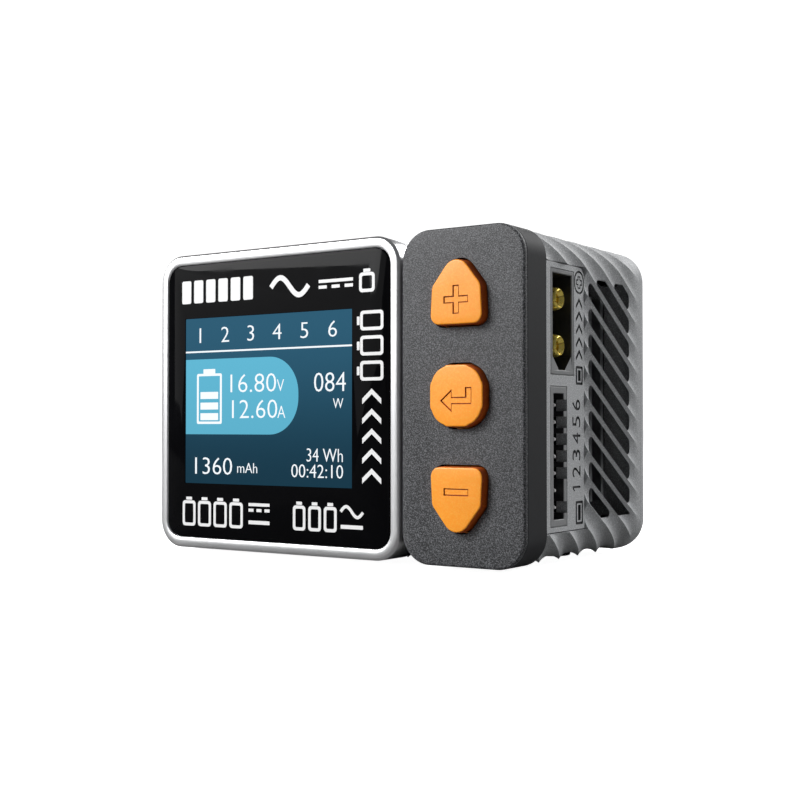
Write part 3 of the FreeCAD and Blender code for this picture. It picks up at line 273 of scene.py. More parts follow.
def stack(name, outline, stations, put, material=None, closed=False):
    """A solid lofted through one outline taken at several margins and levels.

    Its ends are capped, or with closed its last station is joined to its first, as on a ring.
    """
    vertices, faces = [], []
    count = len(outline(stations[0][0]))
    for margin, level in stations:
        vertices += [put(point, level) for point in outline(margin)]
    rings = len(stations)
    for ring in range(rings if closed else rings - 1):
        base, upper = ring * count, (ring + 1) % rings * count
        for i in range(count):
            after = (i + 1) % count
            faces.append((base + i, base + after, upper + after, upper + i))
    if not closed:
        faces.append(tuple(reversed(range(count))))
        faces.append(tuple(range((rings - 1) * count, rings * count)))
    return to_object(name, vertices, faces, material)


def block(name, low, high, material=None):
    """A plain box between two corners, used to cut with."""
    corners = [(x, y, z) for x in (low[0], high[0]) for y in (low[1], high[1])
               for z in (low[2], high[2])]
    faces = [(0, 1, 3, 2), (4, 6, 7, 5), (0, 4, 5, 1), (2, 3, 7, 6), (0, 2, 6, 4), (1, 5, 7, 3)]
    return to_object(name, corners, faces, material)


def lathe(name, profile, put, material=None, steps=32):
    """A solid of revolution: profile gives (radius, level) from one closed end to the other."""
    return stack(name, lambda radius: circle(max(radius, 1e-4), steps), profile, put, material)


def join(name, parts):
    """Several objects made one."""
    shaped = bmesh.new()
    for part in parts:
        shaped.from_mesh(part.data)
    mesh = bpy.data.meshes.new(name)
    shaped.to_mesh(mesh)
    shaped.free()
    for material in parts[0].data.materials:
        mesh.materials.append(material)
    for part in parts:
        bpy.data.objects.remove(part)
    joined = bpy.data.objects.new(name, mesh)
    bpy.context.scene.collection.objects.link(joined)
    return joined


def applied(thing):
    """Turns an object's modifiers into plain mesh."""
    graph = bpy.context.evaluated_depsgraph_get()
    mesh = bpy.data.meshes.new_from_object(thing.evaluated_get(graph), depsgraph=graph)
    thing.modifiers.clear()
    thing.data = mesh
    return thing


def carve(thing, *cutters):
    """Takes cutters out of an object and removes them."""
    for cutter in cutters:
        step = thing.modifiers.new("carve", "BOOLEAN")
        step.operation = "DIFFERENCE"
        step.solver = "EXACT"
        step.object = cutter
    applied(thing)
    for cutter in cutters:
        bpy.data.objects.remove(cutter)
    return thing


def eased(thing, width, segments=2, angle=35):
    """Rounds an object's sharp edges a little."""
    step = thing.modifiers.new("ease", "BEVEL")
    step.width = width * MM
    step.segments = segments
    step.limit_method = "ANGLE"
    step.angle_limit = math.radians(angle)
    step.use_clamp_overlap = True
    return applied(thing)


def shade(thing, angle=SHARP_ANGLE):
    """Smooth shading with creases kept sharp."""
    mesh = thing.data
    mesh.shade_smooth()
    mesh.set_sharp_from_angle(angle=angle)
    return thing


def refined(node, width, material, angle=35):
    """A copy of a CAD node with its flat facets merged and its edges eased."""
    shaped = bmesh.new()
    shaped.from_mesh(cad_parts[node].data)
    bmesh.ops.remove_doubles(shaped, verts=shaped.verts, dist=2e-6)
    bmesh.ops.dissolve_limit(shaped, angle_limit=math.radians(0.5), verts=shaped.verts,
                             edges=shaped.edges)
    mesh = bpy.data.meshes.new(node + "_finished")
    shaped.to_mesh(mesh)
    shaped.free()
    mesh.materials.append(material)
    copy = bpy.data.objects.new(node + "_finished", mesh)
    bpy.context.scene.collection.objects.link(copy)
    return shade(eased(copy, width, angle=angle))


def settle(thing, slot, *nodes, body=HOUSING):
    """Fixes a finished piece to its body and hides the CAD nodes it stands for."""
    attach(thing, body)
    if nodes:
        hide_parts(*nodes)
    return thing


def words(name, text, width, height, put, thickness, material=None, thin=0.0):
    """Figures as a solid, fitted to a width and height about their middle.

    put maps (across, up, out) to the row frame.
    """
    curve = bpy.data.curves.new(name, "FONT")
    curve.body = text
    curve.resolution_u = 3
    curve.extrude = thickness / 2
    curve.offset = -thin
    written = bpy.data.objects.new(name, curve)
    bpy.context.scene.collection.objects.link(written)
    graph = bpy.context.evaluated_depsgraph_get()
    mesh = bpy.data.meshes.new_from_object(written.evaluated_get(graph), depsgraph=graph)
    bpy.data.objects.remove(written)
    shaped = bmesh.new()
    shaped.from_mesh(mesh)
    bmesh.ops.remove_doubles(shaped, verts=shaped.verts, dist=1e-5)
    spans = [(min(v.co[k] for v in shaped.verts), max(v.co[k] for v in shaped.verts))
             for k in (0, 1)]
    for vertex in shaped.verts:
        across, up = [((vertex.co[k] - (low + high) / 2) * size / (high - low))
                      for k, (low, high), size in zip((0, 1), spans, (width, height))]
        vertex.co = Vector(put(across, up, vertex.co[2])) * MM
    bmesh.ops.recalc_face_normals(shaped, faces=shaped.faces)
    shaped.to_mesh(mesh)
    shaped.free()
    mesh.materials.clear()
    if material:
        mesh.materials.append(material)
    solid = bpy.data.objects.new(name, mesh)
    bpy.context.scene.collection.objects.link(solid)
    return solid


# ------------------------------------------------------------------ geometry node trees

def geometry_tree(name, sockets):
    """A tree with a geometry input and output and the named inputs given."""
    tree = bpy.data.node_groups.new(name, "GeometryNodeTree")
    tree.interface.new_socket("Geometry", in_out="INPUT", socket_type="NodeSocketGeometry")
    tree.interface.new_socket("Geometry", in_out="OUTPUT", socket_type="NodeSocketGeometry")
    for label, kind in sockets:
        tree.interface.new_socket(label, in_out="INPUT", socket_type=kind)
    return tree, tree.nodes.new("NodeGroupInput"), tree.nodes.new("NodeGroupOutput")


def wire(tree, kind, settings=None, **inputs):
    """Adds a node, sets its options and connects or sets its inputs by name or number."""
    node = tree.nodes.new(kind)
    for key, value in (settings or {}).items():
        setattr(node, key, value)
    for key, value in inputs.items():
        socket = node.inputs[int(key[1:])] if key[0] == "i" and key[1:].isdigit() else \
            node.inputs[key.replace("_", " ")]
        if isinstance(value, bpy.types.NodeSocket):
            tree.links.new(value, socket)
        else:
            socket.default_value = value
    return node


def math_node(tree, operation, first, second=0.0):
    return wire(tree, "ShaderNodeMath", {"operation": operation}, i0=first, i1=second).outputs[0]


def finish_tree(tree, geometry, material, output):
    """Every tree ends in Realize Instances and Set Material."""
    real = wire(tree, "GeometryNodeRealizeInstances", Geometry=geometry)
    painted = wire(tree, "GeometryNodeSetMaterial", Geometry=real.outputs[0], Material=material)
    tree.links.new(painted.outputs[0], output.inputs[0])


def flute_tree():
    """Sinks a skin between its ridges: deepest half way, nothing on a ridge, fading to the rear."""
    tree, given, output = geometry_tree("flutes", [
        ("Depth", "NodeSocketFloat"), ("Fade Start", "NodeSocketFloat"),
        ("Fade End", "NodeSocketFloat"), ("Material", "NodeSocketMaterial")])
    phase = wire(tree, "GeometryNodeInputNamedAttribute", {"data_type": "FLOAT"}, Name="phase")
    outward = wire(tree, "GeometryNodeInputNamedAttribute", {"data_type": "FLOAT_VECTOR"},
                   Name="outward")
    doubled = math_node(tree, "MULTIPLY", phase.outputs[0], 2.0)
    centred = math_node(tree, "SUBTRACT", doubled, 1.0)
    squared = math_node(tree, "POWER", math_node(tree, "ABSOLUTE", centred), 2.0)
    hollow = math_node(tree, "SUBTRACT", 1.0, squared)
    place = wire(tree, "GeometryNodeInputPosition")
    parts = wire(tree, "ShaderNodeSeparateXYZ", Vector=place.outputs[0])
    fade = wire(tree, "ShaderNodeMapRange", {"interpolation_type": "SMOOTHSTEP"},
                Value=parts.outputs[1], From_Min=given.outputs["Fade Start"],
                From_Max=given.outputs["Fade End"], To_Min=1.0, To_Max=0.0)
    depth = math_node(tree, "MULTIPLY", math_node(tree, "MULTIPLY", hollow, fade.outputs[0]),
                      given.outputs["Depth"])
    inward = wire(tree, "ShaderNodeVectorMath", {"operation": "SCALE"}, i0=outward.outputs[0],
                  Scale=math_node(tree, "MULTIPLY", depth, -1.0))
    moved = wire(tree, "GeometryNodeSetPosition", Geometry=given.outputs[0],
                 Offset=inward.outputs[0])
    finish_tree(tree, moved.outputs[0], given.outputs["Material"], output)
    return tree


def row_tree():
    """Repeats one item in a straight row."""
    tree, given, output = geometry_tree("row", [
        ("Count", "NodeSocketInt"), ("Step", "NodeSocketVector"),
        ("Material", "NodeSocketMaterial")])
    line = wire(tree, "GeometryNodeMeshLine", {"mode": "OFFSET"}, Count=given.outputs["Count"],
                Offset=given.outputs["Step"])
    placed = wire(tree, "GeometryNodeInstanceOnPoints", Points=line.outputs[0],
                  Instance=given.outputs[0])
    finish_tree(tree, placed.outputs[0], given.outputs["Material"], output)
    return tree


def ring_tree():
    """Repeats one item round an axis along Y through a centre."""
    tree, given, output = geometry_tree("ring", [
        ("Count", "NodeSocketInt"), ("Centre", "NodeSocketVector"),
        ("Material", "NodeSocketMaterial")])
    line = wire(tree, "GeometryNodeMeshLine", {"mode": "OFFSET"}, Count=given.outputs["Count"],
                Start_Location=given.outputs["Centre"], Offset=(0.0, 0.0, 0.0))
    turn = math_node(tree, "DIVIDE", 2 * math.pi, given.outputs["Count"])
    index = wire(tree, "GeometryNodeInputIndex")
    angle = math_node(tree, "MULTIPLY", index.outputs[0], turn)
    spin = wire(tree, "ShaderNodeCombineXYZ", Y=angle)
    placed = wire(tree, "GeometryNodeInstanceOnPoints", Points=line.outputs[0],
                  Instance=given.outputs[0], Rotation=spin.outputs[0])
    finish_tree(tree, placed.outputs[0], given.outputs["Material"], output)
    return tree


TREES = {}


def grow(thing, name, maker, **values):
    """Runs a geometry node tree on an object and keeps the result as plain mesh."""
    if name not in TREES:
        TREES[name] = maker()
    tree = TREES[name]
    step = thing.modifiers.new(name, "NODES")
    step.node_group = tree
    for item in tree.interface.items_tree:
        key = item.name.lower().replace(" ", "_")
        if item.item_type == "SOCKET" and item.in_out == "INPUT" and key in values:
            step[item.identifier] = values[key]
    return applied(thing)


# ------------------------------------------------------------------ shader groups

def shader_group(name, inputs, outputs):
    group = bpy.data.node_groups.new(name, "ShaderNodeTree")
    for label, kind, default in inputs:
        socket = group.interface.new_socket(label, in_out="INPUT", socket_type=kind)
        socket.default_value = default
    for label, kind in outputs:
        group.interface.new_socket(label, in_out="OUTPUT", socket_type=kind)
    return group, group.nodes.new("NodeGroupInput"), group.nodes.new("NodeGroupOutput")


def grain_group():
    """A moulded or blasted surface: small grains that lift the surface and lighten their tops."""
    group, given, output = shader_group("moulded_grain", [
        ("Base", "NodeSocketColor", (0.2, 0.2, 0.2, 1.0)),
        ("Fleck", "NodeSocketColor", (0.4, 0.4, 0.4, 1.0)),
        ("Grains per metre", "NodeSocketFloat", 3000.0),
        ("Fleck amount", "NodeSocketFloat", 0.5),
        ("Roughness", "NodeSocketFloat", 0.5),
        ("Roughness spread", "NodeSocketFloat", 0.25),
        ("Height", "NodeSocketFloat", 0.00002),
    ], [("Color", "NodeSocketColor"), ("Roughness", "NodeSocketFloat"),
        ("Normal", "NodeSocketVector")])
    place = wire(group, "ShaderNodeTexCoord").outputs["Object"]
    grains = wire(group, "ShaderNodeTexNoise", Vector=place,
                  Scale=given.outputs["Grains per metre"], Detail=2.5, Roughness=0.62)
    coarse = wire(group, "ShaderNodeTexNoise", Vector=place, Scale=70.0, Detail=3.0)
    lifted = wire(group, "ShaderNodeMapRange", Value=grains.outputs["Fac"], From_Min=0.45,
                  From_Max=0.72, To_Min=0.0, To_Max=1.0)
    amount = math_node(group, "MULTIPLY", lifted.outputs[0], given.outputs["Fleck amount"])
    mixed = wire(group, "ShaderNodeMix", {"data_type": "RGBA"}, i0=amount,
                 i6=given.outputs["Base"], i7=given.outputs["Fleck"])
    shading = wire(group, "ShaderNodeMapRange", Value=coarse.outputs["Fac"], From_Min=0.3,
                   From_Max=0.7, To_Min=0.95, To_Max=1.04)
    toned = wire(group, "ShaderNodeHueSaturation", Value=shading.outputs[0],
                 Color=mixed.outputs[2])
    rough = math_node(group, "ADD", given.outputs["Roughness"],
                      math_node(group, "MULTIPLY",
                                math_node(group, "SUBTRACT", grains.outputs["Fac"], 0.5),
                                given.outputs["Roughness spread"]))
    bump = wire(group, "ShaderNodeBump", Strength=1.0, Distance=given.outputs["Height"],
                Height=grains.outputs["Fac"])
    group.links.new(toned.outputs[0], output.inputs["Color"])
    group.links.new(rough, output.inputs["Roughness"])
    group.links.new(bump.outputs[0], output.inputs["Normal"])
    return group


def brush_group():
    """Fine parallel brush lines on metal."""
    group, given, output = shader_group("brushed", [
        ("Base", "NodeSocketColor", (0.8, 0.8, 0.8, 1.0)),
        ("Roughness", "NodeSocketFloat", 0.3),
        ("Along", "NodeSocketVector", (30.0, 30.0, 4000.0)),
        ("Height", "NodeSocketFloat", 0.000004),
    ], [("Color", "NodeSocketColor"), ("Roughness", "NodeSocketFloat"),
        ("Normal", "NodeSocketVector")])
    place = wire(group, "ShaderNodeTexCoord").outputs["Object"]
    stretched = wire(group, "ShaderNodeVectorMath", {"operation": "MULTIPLY"}, i0=place,
                     i1=given.outputs["Along"])
    lines = wire(group, "ShaderNodeTexNoise", Vector=stretched.outputs[0], Scale=1.0, Detail=3.0)
    tone = wire(group, "ShaderNodeMapRange", Value=lines.outputs["Fac"], From_Min=0.3,
                From_Max=0.7, To_Min=0.93, To_Max=1.03)
    toned = wire(group, "ShaderNodeHueSaturation", Value=tone.outputs[0],
                 Color=given.outputs["Base"])
    rough = math_node(group, "ADD", given.outputs["Roughness"],
                      math_node(group, "MULTIPLY",
                                math_node(group, "SUBTRACT", lines.outputs["Fac"], 0.5), 0.2))
    bump = wire(group, "ShaderNodeBump", Strength=1.0, Distance=given.outputs["Height"],
                Height=lines.outputs["Fac"])
    group.links.new(toned.outputs[0], output.inputs["Color"])
    group.links.new(rough, output.inputs["Roughness"])
    group.links.new(bump.outputs[0], output.inputs["Normal"])
    return group


GROUPS = {}
MATERIALS = {}


def principled(name, **sockets):
    """A material whose Principled sockets hold what is the same all over."""
    material = bpy.data.materials.new(name)
    material.use_nodes = True
    shader = material.node_tree.nodes["Principled BSDF"]
    for label, value in sockets.items():
        shader.inputs[label.replace("_", " ")].default_value = value
    return material, shader


def grained(name, base, fleck, grains=3000.0, amount=0.5, roughness=0.5, height=0.00002,
            spread=0.25, **sockets):
    """A plastic or coated finish from the grain group."""
    if name not in MATERIALS:
        if "grain" not in GROUPS:
            GROUPS["grain"] = grain_group()
        material, shader = principled(name, **sockets)
        tree = material.node_tree
        grain = wire(tree, "ShaderNodeGroup", {"node_tree": GROUPS["grain"]})
        for label, value in (("Base", (*base[:3], 1.0)), ("Fleck", (*fleck[:3], 1.0)),
                             ("Grains per metre", grains), ("Fleck amount", amount),
                             ("Roughness", roughness), ("Roughness spread", spread),
                             ("Height", height)):
            grain.inputs[label].default_value = value
        tree.links.new(grain.outputs["Color"], shader.inputs["Base Color"])
        tree.links.new(grain.outputs["Roughness"], shader.inputs["Roughness"])
        tree.links.new(grain.outputs["Normal"], shader.inputs["Normal"])
        MATERIALS[name] = material
    return MATERIALS[name]


def brushed(name, base, roughness=0.3, along=(30.0, 30.0, 4000.0), height=0.000004, **sockets):
    """A brushed metal from the brush group."""
    if name not in MATERIALS:
        if "brush" not in GROUPS:
            GROUPS["brush"] = brush_group()
        material, shader = principled(name, Metallic=1.0, **sockets)
        tree = material.node_tree
        brush = wire(tree, "ShaderNodeGroup", {"node_tree": GROUPS["brush"]})
        for label, value in (("Base", (*base[:3], 1.0)), ("Roughness", roughness),
                             ("Along", along), ("Height", height)):
            brush.inputs[label].default_value = value
        tree.links.new(brush.outputs["Color"], shader.inputs["Base Color"])
        tree.links.new(brush.outputs["Roughness"], shader.inputs["Roughness"])
        tree.links.new(brush.outputs["Normal"], shader.inputs["Normal"])
        MATERIALS[name] = material
    return MATERIALS[name]


def lit(name, shade_colour, strength, rise=0.0):
    """A glowing part of the screen, whose glow grows towards its top by the share rise."""
    if name not in MATERIALS:
        material, shader = principled(name, Roughness=0.25, Specular_IOR_Level=0.02,
                                      Emission_Strength=strength)
        tree = material.node_tree
        place = wire(tree, "ShaderNodeTexCoord").outputs["Object"]
        cells = wire(tree, "ShaderNodeTexNoise", Vector=place, Scale=5000.0)
        height = wire(tree, "ShaderNodeSeparateXYZ", Vector=place).outputs[2]
        low, high = screen_place()
        glow = wire(tree, "ShaderNodeMapRange", {"interpolation_type": "SMOOTHSTEP"}, Value=height,
                    From_Min=low[1] * MM, From_Max=high[1] * MM, To_Min=1.0 - 0.3 * rise,
                    To_Max=1.0 + rise)
        grainy = wire(tree, "ShaderNodeMapRange", Value=cells.outputs["Fac"], To_Min=0.97,
                      To_Max=1.03)
        value = math_node(tree, "MULTIPLY", glow.outputs[0], grainy.outputs[0])
        toned = wire(tree, "ShaderNodeHueSaturation", Value=value, Color=(*shade_colour[:3], 1.0))
        dim = wire(tree, "ShaderNodeHueSaturation", Value=0.12, Color=toned.outputs[0])
        tree.links.new(dim.outputs[0], shader.inputs["Base Color"])
        tree.links.new(toned.outputs[0], shader.inputs["Emission Color"])
        MATERIALS[name] = material
    return MATERIALS[name]


def finish(name):
    """The charger's finishes by name."""
    tones = bpy.context.scene.charger_finish
    black, white = (0.024, 0.024, 0.025), (0.62, 0.62, 0.61)
    makers = {
        "housing": lambda: grained("housing_plastic", tones.housing, tones.fleck, 4800.0, 0.8,
                                   0.50, 0.00004, Specular_IOR_Level=0.5),
        # Painted shade: the dark finish put on the faces inside the sunk marks.
        "panel_mark": lambda: grained("panel_mark", (0.035, 0.036, 0.038), (0.06, 0.06, 0.063),
                                      3600.0, 0.5, 0.55, 0.00002),
        # The grain is real texture; its light flecks are painted glints.
        "faceplate": lambda: grained("keypad_texture", tones.faceplate, tones.faceplate_fleck,
                                     5600.0, 0.85, 0.50, 0.00007, Specular_IOR_Level=0.5),
        "slab": lambda: grained("keypad_plastic", tones.slab, (0.034, 0.035, 0.039), 4200.0, 0.4,
                                0.6, 0.000012, Specular_IOR_Level=0.28),
        "cap": lambda: grained("button_orange", tones.cap, tones.cap_fleck, 4300.0, 0.55, 0.36,
                               0.000026, Specular_IOR_Level=0.5),
        # Painted shade: a darker copy of the cap finish for the caps' sides and the floors of their
        # sunk signs.
        "cap_side": lambda: grained("button_orange_side", tones.cap_side, tones.cap, 4300.0, 0.25,
                                    0.40, 0.00002),
        "bezel": lambda: grained("bezel_metal", tones.bezel, (0.96, 0.96, 0.97), 900.0, 0.4, 0.30,
                                 0.0, 0.02, Metallic=1.0),
        "glass": lambda: grained("display_glass", (0.0025, 0.0025, 0.003), (0.004, 0.004, 0.005),
                                 200.0, 0.3, 0.05, 0.0, Specular_IOR_Level=0.03),
        "screen": lambda: lit("screen_field", tones.screen, 1.0, 0.9),
        "pill": lambda: lit("screen_pill", tones.screen_pill, 1.0, 0.1),
        "figures": lambda: lit("screen_figures", (0.86, 0.90, 0.93), 1.0),
        "print": lambda: grained("glass_print", (0.86, 0.86, 0.86), (0.92, 0.92, 0.92), 2500.0,
                                 0.5, 0.35, 0.0, Coat_Weight=0.4),
        # Also the painted shade inside the sockets' mouths.
        "socket": lambda: grained("socket_black", black, (0.03, 0.03, 0.032), 3500.0, 0.5, 0.36,
                                  0.00001),
        "rim": lambda: grained("socket_rim", (0.25, 0.255, 0.26), (0.36, 0.365, 0.37), 3500.0,
                               0.5, 0.42, 0.00001),
        "tin": lambda: grained("pin_tin", (0.86, 0.86, 0.85), (0.95, 0.95, 0.94), 2500.0, 0.4,
                               0.25, 0.0, 0.05, Metallic=0.4),
        "gold": lambda: grained("contact_gold", tones.gold, (1.0, 0.84, 0.36), 2200.0, 0.4, 0.28,
                                0.0, 0.05, Metallic=0.8),
        "steel": lambda: brushed("socket_steel", (0.62, 0.62, 0.63), 0.26),
        "screw": lambda: brushed("screw_steel", (0.10, 0.10, 0.105), 0.34, (900.0, 900.0, 900.0)),
        "rubber": lambda: grained("foot_rubber", (0.014, 0.014, 0.014), (0.03, 0.03, 0.03),
                                  2500.0, 0.5, 0.75, 0.00003),
        "board": lambda: grained("circuit_board", (0.006, 0.010, 0.009), (0.02, 0.035, 0.028),
                                 420.0, 0.7, 0.32, 0.00001, Coat_Weight=0.4),
        "flex": lambda: grained("ribbon_film", (0.16, 0.065, 0.015), (0.22, 0.10, 0.03), 1800.0,
                                0.5, 0.3, 0.000006),
        "white": lambda: grained("white_reflector", white, (0.9, 0.9, 0.89), 2500.0, 0.5, 0.45,
                                 0.00001),
        "ferrite": lambda: grained("ferrite", (0.045, 0.045, 0.048), (0.09, 0.09, 0.09), 1800.0,
                                   0.6, 0.6, 0.00003),
        "copper": lambda: brushed("copper_winding", (0.75, 0.30, 0.10), 0.3,
                                  (200.0, 200.0, 5200.0), 0.00006),
        "chip": lambda: grained("chip_black", (0.016, 0.016, 0.017), (0.035, 0.035, 0.037),
                                4500.0, 0.5, 0.5, 0.00001),
        "heatsink": lambda: brushed("heatsink_metal", (0.42, 0.43, 0.44), 0.38,
                                    (60.0, 2600.0, 60.0), 0.00001),
        "sleeve": lambda: grained("capacitor_sleeve", (0.012, 0.016, 0.045),
                                  (0.03, 0.035, 0.08), 900.0, 0.5, 0.28, 0.000006),
        "yellow": lambda: grained("filter_yellow", (0.72, 0.48, 0.03), (0.85, 0.62, 0.10),
                                  1500.0, 0.5, 0.36, 0.00001),
        "lead": lambda: grained("lead_insulation", (0.16, 0.05, 0.02), (0.22, 0.08, 0.04),
                                1500.0, 0.5, 0.35, 0.00001),
    }
    return makers[name]()


# ------------------------------------------------------------------ housing

class HousingPath:
    """The housing's outline as one loop of ridges, from the top's middle round to the right."""

    def __init__(self, settings):
        self.radius = settings.corner_radius
        self.half_width = (HOUSE_HIGH.x - HOUSE_LOW.x) / 2
        self.half_height = (HOUSE_HIGH.z - HOUSE_LOW.z) / 2
        self.middle_x = (HOUSE_HIGH.x + HOUSE_LOW.x) / 2
        self.arc = math.pi / 2 * self.radius
        self.flat = self.half_width - self.radius
        self.upright = 2 * (self.half_height - self.radius)
        self.side = self.upright + 2 * self.arc
        self.half = self.side + 2 * self.flat
        self.side_pitches = self.side / settings.flute_pitch
        self.flat_pitches = (SIDE_PITCH_COUNT - 2 * self.side_pitches) / 4

    def distance(self, ridges):
        """How far along the loop a count of ridge pitches reaches."""
        turns, ridges = divmod(ridges, SIDE_PITCH_COUNT / 2)
        if ridges < self.flat_pitches:
            reach = ridges / self.flat_pitches * self.flat
        elif ridges < self.flat_pitches + self.side_pitches:
            reach = self.flat + (ridges - self.flat_pitches) / self.side_pitches * self.side
        else:
            past = ridges - self.flat_pitches - self.side_pitches
            reach = self.flat + self.side + past / self.flat_pitches * self.flat
        return turns * self.half + reach

    def place(self, distance):
        """A point of the loop in X and Z, and its outward direction."""
        turns, reach = divmod(distance, self.half)
        sign = 1 if turns % 2 == 0 else -1
        inner_x, inner_z = self.half_width - self.radius, self.half_height - self.radius
        if reach < self.flat:
            point, out = (reach, self.half_height), (0, 1)
        elif reach < self.flat + self.arc:
            angle = math.pi / 2 - (reach - self.flat) / self.radius
            out = (math.cos(angle), math.sin(angle))
            point = (inner_x + self.radius * out[0], inner_z + self.radius * out[1])
        elif reach < self.flat + self.arc + self.upright:
            point, out = (self.half_width, inner_z - (reach - self.flat - self.arc)), (1, 0)
        elif reach < self.flat + self.side:
            angle = -(reach - self.flat - self.arc - self.upright) / self.radius
            out = (math.cos(angle), math.sin(angle))
            point = (inner_x + self.radius * out[0], -inner_z + self.radius * out[1])
        else:
            point, out = (self.half_width - self.radius - (reach - self.flat - self.side),
                          -self.half_height), (0, -1)
        return ((self.middle_x + sign * point[0], MIDDLE + sign * point[1]),
                (sign * out[0], sign * out[1]))


def housing_skin(settings, material):
    """The housing as a closed solid, with its ridge phase stored for the flute tree."""
    path = HousingPath(settings)
    per_pitch = 10
    columns = SIDE_PITCH_COUNT * per_pitch
    slope = math.tan(settings.flute_slope) / settings.flute_pitch
    vent_middle = settings.vent_start + settings.vent_length / 2
    lower_edge = settings.flute_shift - settings.slot_opening / 2
    down_to_edge = path.flat + path.arc + path.half_height - path.radius - lower_edge
    start = path.flat_pitches + (down_to_edge - path.flat) / settings.flute_pitch
    first, last = HOUSE_LOW.y, HOUSE_HIGH.y
    inner_front = BEZEL_HIGH.y + settings.wall
    rows = int(math.ceil((last - first) / 0.85))
    levels = [first + (last - first) * row / rows for row in range(rows + 1)]
    vertices, phases, outwards = [], [], []
    for level in levels:
        for column in range(columns):
            ridge = start % 1 + column / per_pitch + slope * (level - FACE - vent_middle)
            (x, z), out = path.place(path.distance(ridge % SIDE_PITCH_COUNT))
            vertices.append((x, level, z))
            phases.append(column % per_pitch / per_pitch)
            outwards.append((out[0], 0.0, out[1]))
    for level in (last, inner_front):
        base = len(vertices) - columns if level == last else len(vertices) - 2 * columns
        for column in range(columns):
            x, _, z = vertices[len(levels) * columns - columns + column]
            out = outwards[(len(levels) - 1) * columns + column]
            vertices.append((x - settings.wall * out[0], level, z - settings.wall * out[2]))
            phases.append(0.0)
            outwards.append((0.0, 0.0, 0.0))
    faces = []
    for row in range(len(levels) + 1):
        for column in range(columns):
            after = (column + 1) % columns
            faces.append((row * columns + column, (row + 1) * columns + column,
                          (row + 1) * columns + after, row * columns + after))
    faces.append(tuple(range(columns)))
    faces.append(tuple(reversed(range((len(levels) + 1) * columns, (len(levels) + 2) * columns))))
    mesh = bpy.data.meshes.new("main_housing_shell")
    mesh.from_pydata([Vector(v) * MM for v in vertices], [], faces)
    mesh.attributes.new("phase", "FLOAT", "POINT").data.foreach_set("value", phases)
    flat = [value for vector in outwards for value in vector]
    mesh.attributes.new("outward", "FLOAT_VECTOR", "POINT").data.foreach_set("vector", flat)
    skin = bpy.data.objects.new("main_housing_shell", mesh)
    bpy.context.scene.collection.objects.link(skin)
    return grow(skin, "flutes", flute_tree, depth=settings.flute_depth * MM,
                fade_start=(FACE + settings.fade_start) * MM,
                fade_end=(FACE + settings.fade_end) * MM, material=material)


def clipped(polygon, axis, limit, keep_below):
    """The part of a convex polygon on one side of a line."""
    result = []
    for i, here in enumerate(polygon):
        last = polygon[i - 1]
        inside = (here[axis] <= limit) if keep_below else (here[axis] >= limit)
        last_inside = (last[axis] <= limit) if keep_below else (last[axis] >= limit)
        if inside != last_inside:
            share = (limit - last[axis]) / (here[axis] - last[axis])
            result.append(tuple(last[k] + share * (here[k] - last[k]) for k in (0, 1)))
        if inside:
            result.append(here)
    return result


def slot_outlines(settings):
    """The ventilation slots of the right side, in Y and Z."""
    fall = math.tan(settings.flute_slope)
    start = FACE + settings.vent_start
    end = start + settings.vent_length
    half_open, half_high = settings.slot_opening / 2, settings.vent_height / 2
    outlines = []
    for step in range(-8, 9):
        middle = settings.flute_shift + step * settings.flute_pitch
        left, right = middle + fall * (end - start) / 2, middle - fall * (end - start) / 2
        slot = [(start, left - half_open), (end, right - half_open), (end, right + half_open),
                (start, left + half_open)]
        slot = clipped(clipped(slot, 1, half_high, True), 1, -half_high, False)
        if len(slot) >= 3:
            area = 0.5 * abs(sum(slot[i - 1][0] * p[1] - p[0] * slot[i - 1][1]
                                 for i, p in enumerate(slot)))
            if area > settings.slot_opening:
                outlines.append(rounded_polygon(slot, [settings.slot_rounding] * len(slot), 5))
    return outlines


def slot_cutter(name, settings, side):
    """All slots of one side as prisms; the left side's are turned half round about Y."""
    parts = []
    for number, outline in enumerate(slot_outlines(settings)):
        points = [(y, MIDDLE + side * z) for y, z in outline]
        reach = 2 * settings.wall

        def leaning(shift, p=points):
            return [(y + shift, z) for y, z in p]

        parts.append(stack(f"{name}_{number}", leaning,
                           [(settings.slot_slant * reach, side * (HOUSE_HIGH.x - reach)),
                            (-settings.slot_slant * reach, side * (HOUSE_HIGH.x + reach))],
                           facing_side((0.0, 0.0))))
    return join(name, parts)


def make_housing(settings):
    housing = finish("housing")
    shell = housing_skin(settings, housing)
    wall, over = settings.wall, 1.0
    bay_low, bay_high = cad_box("output_socket")
    cutters = [slot_cutter("vents_right", settings, 1), slot_cutter("vents_left", settings, -1)]
    for side, node in ((1, "right_port_panel"), (-1, "left_port_panel")):
        low, high = cad_box(node)
        front = SHELL_HIGH.y if side == 1 else BEZEL_HIGH.y
        plate_back = HOUSE_HIGH.x - 1.5 * wall
        height = bpy.context.scene.charger_ports.panel_height / 2
        end = FACE + bpy.context.scene.charger_ports.panel_end
        across = sorted((side * plate_back, side * (HOUSE_HIGH.x + over)))
        cutters.append(block(f"window_{side}", (across[0], front - over, MIDDLE - height),
                             (across[1], end, MIDDLE + height)))
    cutters.append(block("display_step", (HOUSE_LOW.x - over, HOUSE_LOW.y - over,
                                          HOUSE_LOW.z - over),
                         ((BEZEL_HIGH.x + KEYPAD_LOW.x) / 2, BEZEL_HIGH.y, HOUSE_HIGH.z + over)))
    height = bpy.context.scene.charger_ports.panel_height / 2
    cutters.append(block("socket_bay", (bay_low.x, HOUSE_LOW.y - over, MIDDLE - height),
                         (HOUSE_HIGH.x - 0.5 * wall, BEZEL_HIGH.y + wall + over,
                          MIDDLE + height - 0.02)))
    carve(shell, *cutters)
    shade(shell, math.radians(24))
    settle(shell, "housing_plastic", "main_housing")


# ------------------------------------------------------------------ keypad

